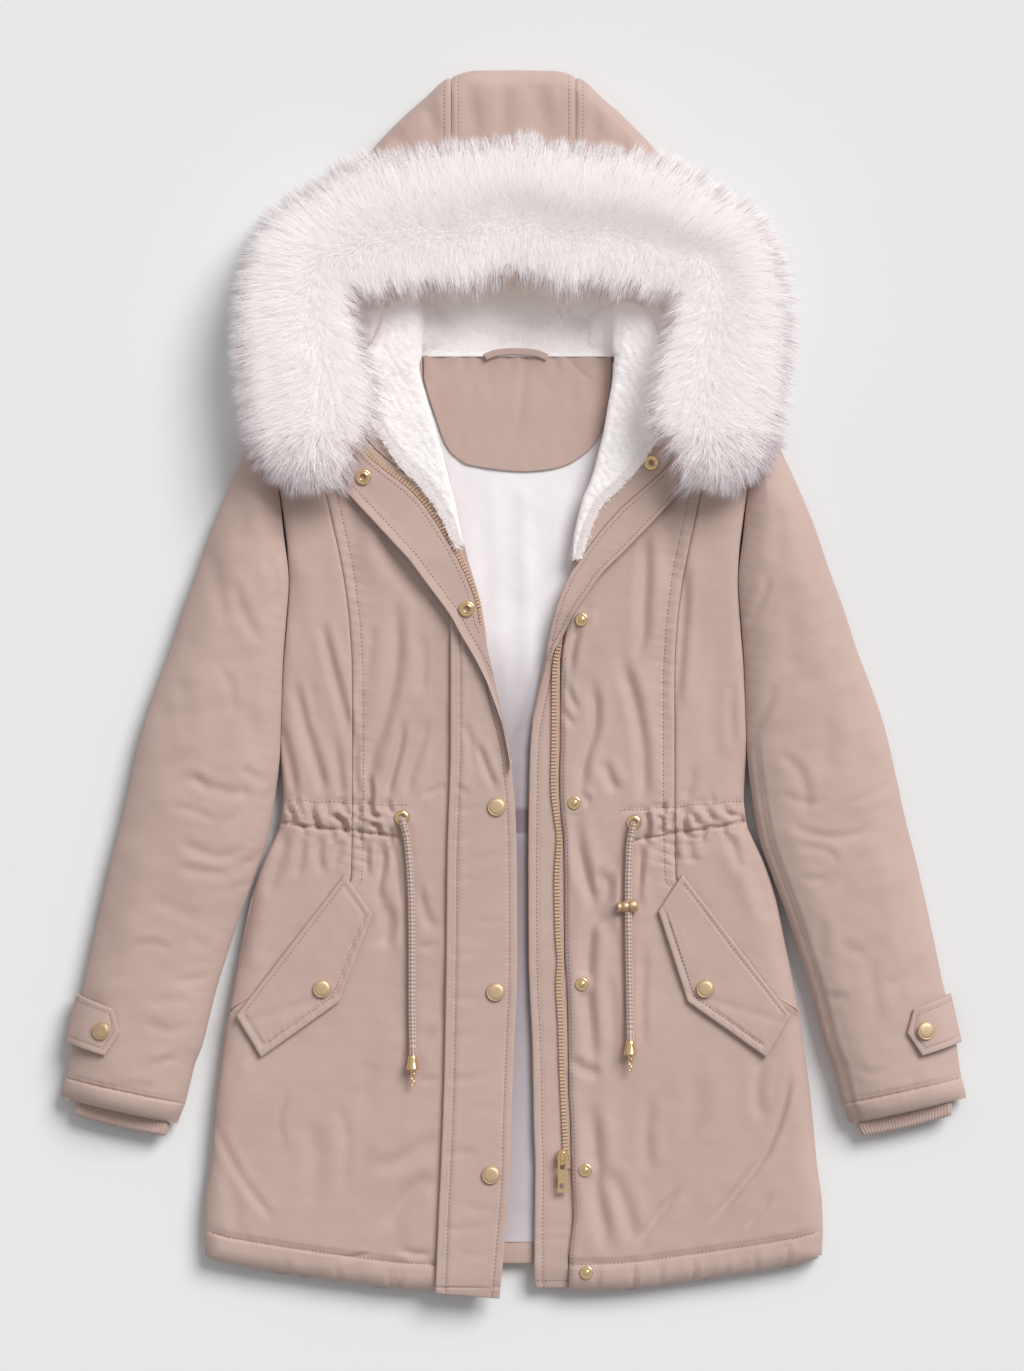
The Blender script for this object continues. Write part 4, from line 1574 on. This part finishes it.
def fold_inside(x, y):
    """The lining folds up beside each fleece roll: a sharp edge along an arc, fading out toward the neck."""
    ax = np.abs(x)
    middle, half, high = np.where(x < 0, 94, 100), np.where(x < 0, 29.5, 32.5), np.where(x < 0, 35, 31)
    r = np.hypot((ax - middle) / half, np.maximum(0, y - 321) / high)
    inner = 0.34 * ramp(1 - r, 0, 0.09) * ramp(y, 303, 324)
    inner = inner + 0.66 * ramp(ax - middle, -18, -8) * ramp(1 - r, 0, 0.3)
    outer = ramp(-ax, -150, -128) * ramp(-y, -356, -342)
    crease = 1.8 * dent((r - 1.05) * half, 1.8) * ramp(y, 314, 324) * (ax < middle)
    return 14.6 * np.where(ax < middle, inner, np.maximum(inner, outer)) * ramp(y, 301, 316) - crease


crown_y, crown_x = [c[1] for c in reversed(CROWN)], [c[0] for c in reversed(CROWN)]
hood_rows = []
for y in (301.4, 304, 309, 316, 326, 340, 360, 390, 420, 450, 480):
    half = min(float(np.interp(y + 45, crown_y, crown_x)) - 6, 158)
    hood_rows.append((-half, y, half, y))
fleece_hood = laid(
    "hood_plush", plush.material, hood_rows, 150, 90,
    lambda x, y, a, b, c, d: 16.3 + 1.2 * ramp(-y, -306, -303) + fold_inside(x, y)
    + 1.1 * np.sin(x / 17 + y / 23) * ramp(y, 304, 330) - 1.2 * rounded(np.minimum(a, b), 3)
    + 0.8 * napped(x, y) + 0.6 * uneven(x, y, 44, 6) * ramp(y, 306, 330),
    lambda x, y, *rest: np.where(y < 303.2, 16.9, 12.3),
)
worn(fleece_hood, "plush_fleece", "hood_lining")

# Fur trim: long synthetic pile on a strip round the hood's opening, white with lilac grey tips, combed out
# from a parting near its inner edge and bunched in pointed locks.
FUR = (
    (168, 193, 207, 197, 34, 38, 38, 36, 36), (153, 203, 233, 214, 46, 38, 38, 35, 34),
    (141, 226, 243, 232, 50, 38, 38, 31, 24), (125, 252, 251, 258, 52, 38, 38, 20, 6),
    (124, 272, 256, 285, 54, 40, 38, 12, 5), (130, 297, 258, 312, 54, 40, 38, 12, 5),
    (138, 320, 257, 340, 52, 47, 47, 12, 5), (147, 344, 251, 368, 50, 47, 47, 12, 5),
    (149, 358, 240, 401, 48, 47, 49, 16, 5), (140, 368, 222, 432, 47, 48, 51, 40, 10),
    (124, 359, 196, 451, 47, 48, 49, 51, 30), (106, 363, 168, 470, 47, 47, 48, 49, 44),
    (88, 360, 141, 486, 47, 47, 47, 47, 47), (68, 366, 106, 492, 47, 47, 47, 47, 47),
    (46, 359, 71, 500, 47, 47, 47, 47, 47), (23, 368, 35, 504, 47, 47, 47, 47, 47),
    (0, 374, 0, 508, 47, 47, 47, 47, 47),
)
FUR_PROFILE = (
    (0.0, 0.16), (0.02, 0.42), (0.07, 0.66), (0.15, 0.84), (0.26, 0.95), (0.40, 1.0), (0.55, 0.99), (0.69, 0.91),
    (0.82, 0.76), (0.92, 0.54), (0.98, 0.28), (1.0, 0.08),
)
pile = []
for name, colour in (
    ("fur_white", tone(236, 232, 232)), ("fur_cream", tone(231, 225, 222)), ("fur_lilac_tip", tone(204, 191, 197)),
    ("fur_brown_tip", tone(150, 132, 130)), ("fur_ground", tone(238, 232, 232)),
):
    hair = Finish(name, 0.7, Emission_Color=colour, Emission_Strength=0.2 if "tip" not in name else 0.1)
    hair.colour(colour)
    pile.append(hair.material)
fur_rows = np.array([(-r[0], r[1], -r[2], *r[3:]) for r in FUR] + list(reversed(FUR[:-1])), float)
fur_mid = (fur_rows[:, 0:2] + fur_rows[:, 2:4]) / 2
fur_place = run_along(fur_mid)
FUR_LENGTH = float(fur_place[-1])


def fur_at(u):
    """Inner point, outer point, rise and floors of the strip at a distance along it."""
    return [tuned(list(zip(fur_place, fur_rows[:, c])), u) for c in range(9)]


FUR_IN, FUR_BROAD = 0.13, 0.70
core_rings = []
for u in np.linspace(0.035 * FUR_LENGTH, 0.965 * FUR_LENGTH, 90):
    xi, yi, xo, yo, rise, *floors = (v.item() for v in fur_at(np.array([u])))
    ring = []
    for f, h in FUR_PROFILE:
        g = FUR_IN + FUR_BROAD * f
        ring.append((xi + (xo - xi) * g, yi + (yo - yi) * g, 46 + (rise - 19) * h))
    for g, z in ((0.80, floors[3] + 5), (0.62, floors[2] + 3), (0.36, floors[1] + 1.5), (0.15, floors[0] + 2)):
        ring.append((xi + (xo - xi) * g, yi + (yo - yi) * g, min(z, 56)))
    core_rings.append(ring)
fur_core = wrapped("fur_ground", pile[4], core_rings)
worn(fur_core, "fur_pile", "fur_trim")

PARTING = 0.33


def combed(u, v, wall, length, scatter):
    """Roots of hairs, and their ways from root to tip: across the strip from the parting and along to its ends."""
    xi, yi, xo, yo, rise, *floors = fur_at(u)
    wide = np.hypot(xo - xi, yo - yi)
    g = FUR_IN + FUR_BROAD * v
    near_end = np.minimum(u, FUR_LENGTH - u)
    x, y, z = xi + (xo - xi) * g, yi + (yo - yi) * g, 45 + (rise - 20) * tuned(FUR_PROFILE, v)
    towards = np.where(u < FUR_LENGTH / 2, -1.0, 1.0)
    ahead = fur_at(np.clip(u + 2, 0, FUR_LENGTH))
    behind = fur_at(np.clip(u - 2, 0, FUR_LENGTH))
    tx = (ahead[0] + ahead[2] - behind[0] - behind[2]) * towards
    ty = (ahead[1] + ahead[3] - behind[1] - behind[3]) * towards
    run = np.maximum(np.hypot(tx, ty), 1e-6)
    lean = 1.32 * np.tanh((v - PARTING) / 0.24)
    low = ramp(-near_end, -330, -250) * ramp(near_end, 8, 40)
    z = z - wall * (26 + 24 * low) * scatter[2] * (v > 0.5)
    across = np.sin(lean)
    upward = np.cos(lean) * (1 - 0.8 * wall) - 0.35 * wall * low * scatter[2]
    arm = ramp(-near_end, -330, -60)
    along = 0.10 + 0.30 * arm + 1.5 * ramp(-near_end, -42, -4)
    dx = (xo - xi) / wide * across + tx / run * along + 0.26 * scatter[0]
    dy = (yo - yi) / wide * across + ty / run * along + 0.26 * scatter[1] - 0.12 * arm
    size = np.sqrt(dx * dx + dy * dy + upward * upward)
    return np.stack([x, y, z]), np.stack([dx, dy, upward]) / size * length


def shuffled(numbers, pitch, size):
    """A fixed value from 0 to 1 for each whole number, without order."""
    value = np.sin(numbers * pitch) * size
    return value - np.floor(value)


HAIRS = 32000
LOCK = 8.5
for number, (start, end) in enumerate(((0.0, 0.28), (0.28, 0.5), (0.5, 0.72), (0.72, 1.0))):
    dice = np.random.default_rng(41 + number)
    u = (start + (end - start) * dice.random(HAIRS)) * FUR_LENGTH
    v = dice.random(HAIRS) ** 0.95
    near_end = np.minimum(u, FUR_LENGTH - u)
    side_wall = dice.random(HAIRS) < 0.12 + 0.1 * (near_end < 300)
    v[side_wall] = 0.93 + 0.07 * dice.random(int(side_wall.sum()))
    scatter = np.stack([dice.normal(size=HAIRS), dice.normal(size=HAIRS), dice.random(HAIRS)])
    crown_part = ramp(near_end, 300, 400)
    peak = dent(u - FUR_LENGTH / 2 - 11, 13)
    inner_edge = ramp(-v, -0.14, -0.03)
    shorter = 1 - ramp(v, 0.55, 0.9) * (0.14 + 0.2 * crown_part * (1 - peak)) + 0.12 * inner_edge
    long_edge = 5 * (ramp(v, 0.6, 0.95) + inner_edge)
    length = dice.uniform(25 - long_edge, 37 + long_edge, HAIRS) * (0.85 + 0.12 * (v > 0.7)) * shorter
    base, way = combed(u, v, side_wall, length, scatter)
    # Each hair leans to the middle one of its lock.
    cell_u = np.floor(u / LOCK)
    cell_v = np.floor(v * 9 + 0.5 * (cell_u % 2))
    lock = (cell_u * 131 + cell_v * 17 + side_wall * 7).astype(int)
    jitter, jitter_b = shuffled(lock, 12.9898, 43758.5453), shuffled(lock, 78.233, 24634.6345)
    lock_u = np.clip((cell_u + 0.2 + 0.6 * jitter) * LOCK, 0, FUR_LENGTH)
    lock_v = np.clip((cell_v - 0.5 * (cell_u % 2) + 0.2 + 0.6 * jitter_b) / 9, 0, 1)
    lock_scatter = np.stack([1.2 * (jitter - 0.5), 1.2 * (jitter_b - 0.5), 0.5 + 0 * jitter])
    lock_base, lock_way = combed(lock_u, lock_v, side_wall, (33 + 6 * jitter) * shorter, lock_scatter)
    loose = ramp(v, 0.6, 0.95) + ramp(-v, -0.2, -0.04)
    held = dice.uniform(0.0, 0.22, HAIRS) + 0.42 * np.clip(loose, 0, 1)
    tip = base + way
    tip = tip + (lock_base + lock_way - tip) * held
    arch = length * 0.16
    points = []
    for t in (0.0, 0.52, 1.0):
        spot = base + (tip - base) * (t ** 1.12)
        spot[2] = np.maximum(spot[2] + arch * (4 * t * (1 - t)) * 0.8 - arch * t ** 3, 3.0)
        points.append(spot)
    turn = dice.uniform(0, math.pi, HAIRS)
    flow = np.arctan2(tip[1] - base[1], tip[0] - base[0])
    breadth = np.stack([-np.sin(flow), np.cos(flow), 0.35 * np.cos(turn)]) * dice.uniform(0.14, 0.24, HAIRS)
    middle = breadth * 0.85
    corners = np.stack([
        points[0] - breadth, points[0] + breadth, points[1] - middle, points[1] + middle, points[2],
    ])
    starts = np.arange(HAIRS)[:, None] * 5
    numbers = np.concatenate([(starts + [0, 1, 3, 2]).ravel(), (starts + [2, 3, 4]).ravel()])
    outer_edge = 0.012 + 0.36 * ramp(v, 0.75, 0.98) + 0.55 * ramp(-v, -0.12, -0.02)
    coloured = dice.random(HAIRS) < np.clip(outer_edge + 0.5 * ramp(-near_end, -60, -10), 0, 0.9)
    brown_share = 0.3 + 0.35 * ramp(-v, -0.12, -0.02) + 0.2 * crown_part * (v > 0.85)
    brown = coloured & (dice.random(HAIRS) < brown_share)
    body = np.where(dice.random(HAIRS) < 0.3, 1, 0)
    tip_colour = np.where(brown, 3, np.where(coloured, 2, body))
    hairs = fibres(
        "fur_hair_%d" % (number + 1), np.transpose(corners, (2, 0, 1)).reshape(-1, 3), np.repeat([4, 3], HAIRS),
        numbers, pile[:4], np.concatenate([body, tip_colour]),
    )
    worn(hairs, "fur_pile")

# Snaps and eyelets: turned brass, pressed into the cloth; the caps are matt antique gold, the studs, sockets and
# eyelets bright, like the zip's slider and pull.
CAP = (
    (0, 0), (8.0, 0), (8.35, 0.3), (8.45, 0.9), (8.35, 1.6), (8.0, 2.1), (7.6, 2.25), (7.3, 2.1), (7.1, 2.05),
    (6.9, 2.2), (6.4, 2.45), (5.2, 2.6), (3.5, 2.68), (1.6, 2.72), (0, 2.74),
)
STUD = (
    (0, 0), (5.7, 0), (6.0, 0.3), (6.0, 0.8), (5.6, 1.15), (4.9, 1.25), (3.6, 1.0), (2.6, 0.9), (2.3, 1.2),
    (2.15, 2.2), (2.5, 2.7), (2.3, 3.2), (1.4, 3.4), (0, 3.45),
)
SOCKET = (
    (2.6, 0), (6.9, 0), (7.3, 0.4), (7.2, 1.2), (6.6, 1.7), (5.8, 1.8), (5.0, 1.5), (4.5, 1.5), (4.1, 2.3),
    (3.4, 2.6), (2.9, 2.4), (2.6, 1.8), (2.6, 0),
)
EYELET = ((3.2, 0), (6.6, 0), (7.0, 0.4), (6.7, 1.1), (5.7, 1.7), (4.6, 1.9), (3.6, 1.7), (3.2, 1.2), (3.2, 0))
METALS = {"antique_gold": antique, "bright_gold": gold}


def smaller(profile, share):
    return [(r * share, h) for r, h in profile]


fittings = [
    ("flap_cap_%d" % number, "snap_cap_%d" % number, "antique_gold", CAP, (x, y, LAY + 4.5), 0)
    for number, (x, y) in enumerate(((-15.6, -113), (-16.6, -283), (-20.8, -451)), 1)
]
fittings += [
    ("flap_socket_%d" % number, "snap_socket_%d" % number, "bright_gold", SOCKET, (x, y, lap_right(x, y) + 5.7), 0)
    for number, (x, y) in enumerate(((-138, 190), (-42.8, 69)), 1)
]
fittings += [
    ("front_stud_%d" % number, "snap_stud_%d" % number, "bright_gold", STUD, (x, y, LAY), 0)
    for number, (x, y) in enumerate(STUDS, 1)
]
fittings.append(("front_stud_6", "snap_stud_6", "bright_gold", smaller(SOCKET, 0.93), (126.5, 203, LAY + 3.7), 0))
for suffix, side in (("right", -1), ("left", 1)):
    cap = smaller(CAP, 0.97)
    fittings += [
        ("pocket_snap_" + suffix, "pocket_cap_" + suffix, "antique_gold", cap, (side * 176, -280, LAY + 4.9), 0),
        ("cuff_snap_" + suffix, "cuff_cap_" + suffix, "antique_gold", cap, (side * 378, -318, 44.9), 14 * side),
    ]
fittings += [
    ("cord_eyelet_" + suffix, "eyelet_" + suffix, "bright_gold", EYELET, (*EYELETS[side], LAY), 0)
    for suffix, side in (("right", -1), ("left", 1))
]
for name, node, metal, profile, spot, lean in fittings:
    seat = Matrix.Translation(spot) @ Matrix.Rotation(math.radians(lean), 4, "Y")
    set_down(turned(name, METALS[metal].material, profile), seat, metal, node)
for node in ("zip_slider", "zip_pull"):
    for slot in bpy.data.objects[node].material_slots:
        slot.material = gold.material
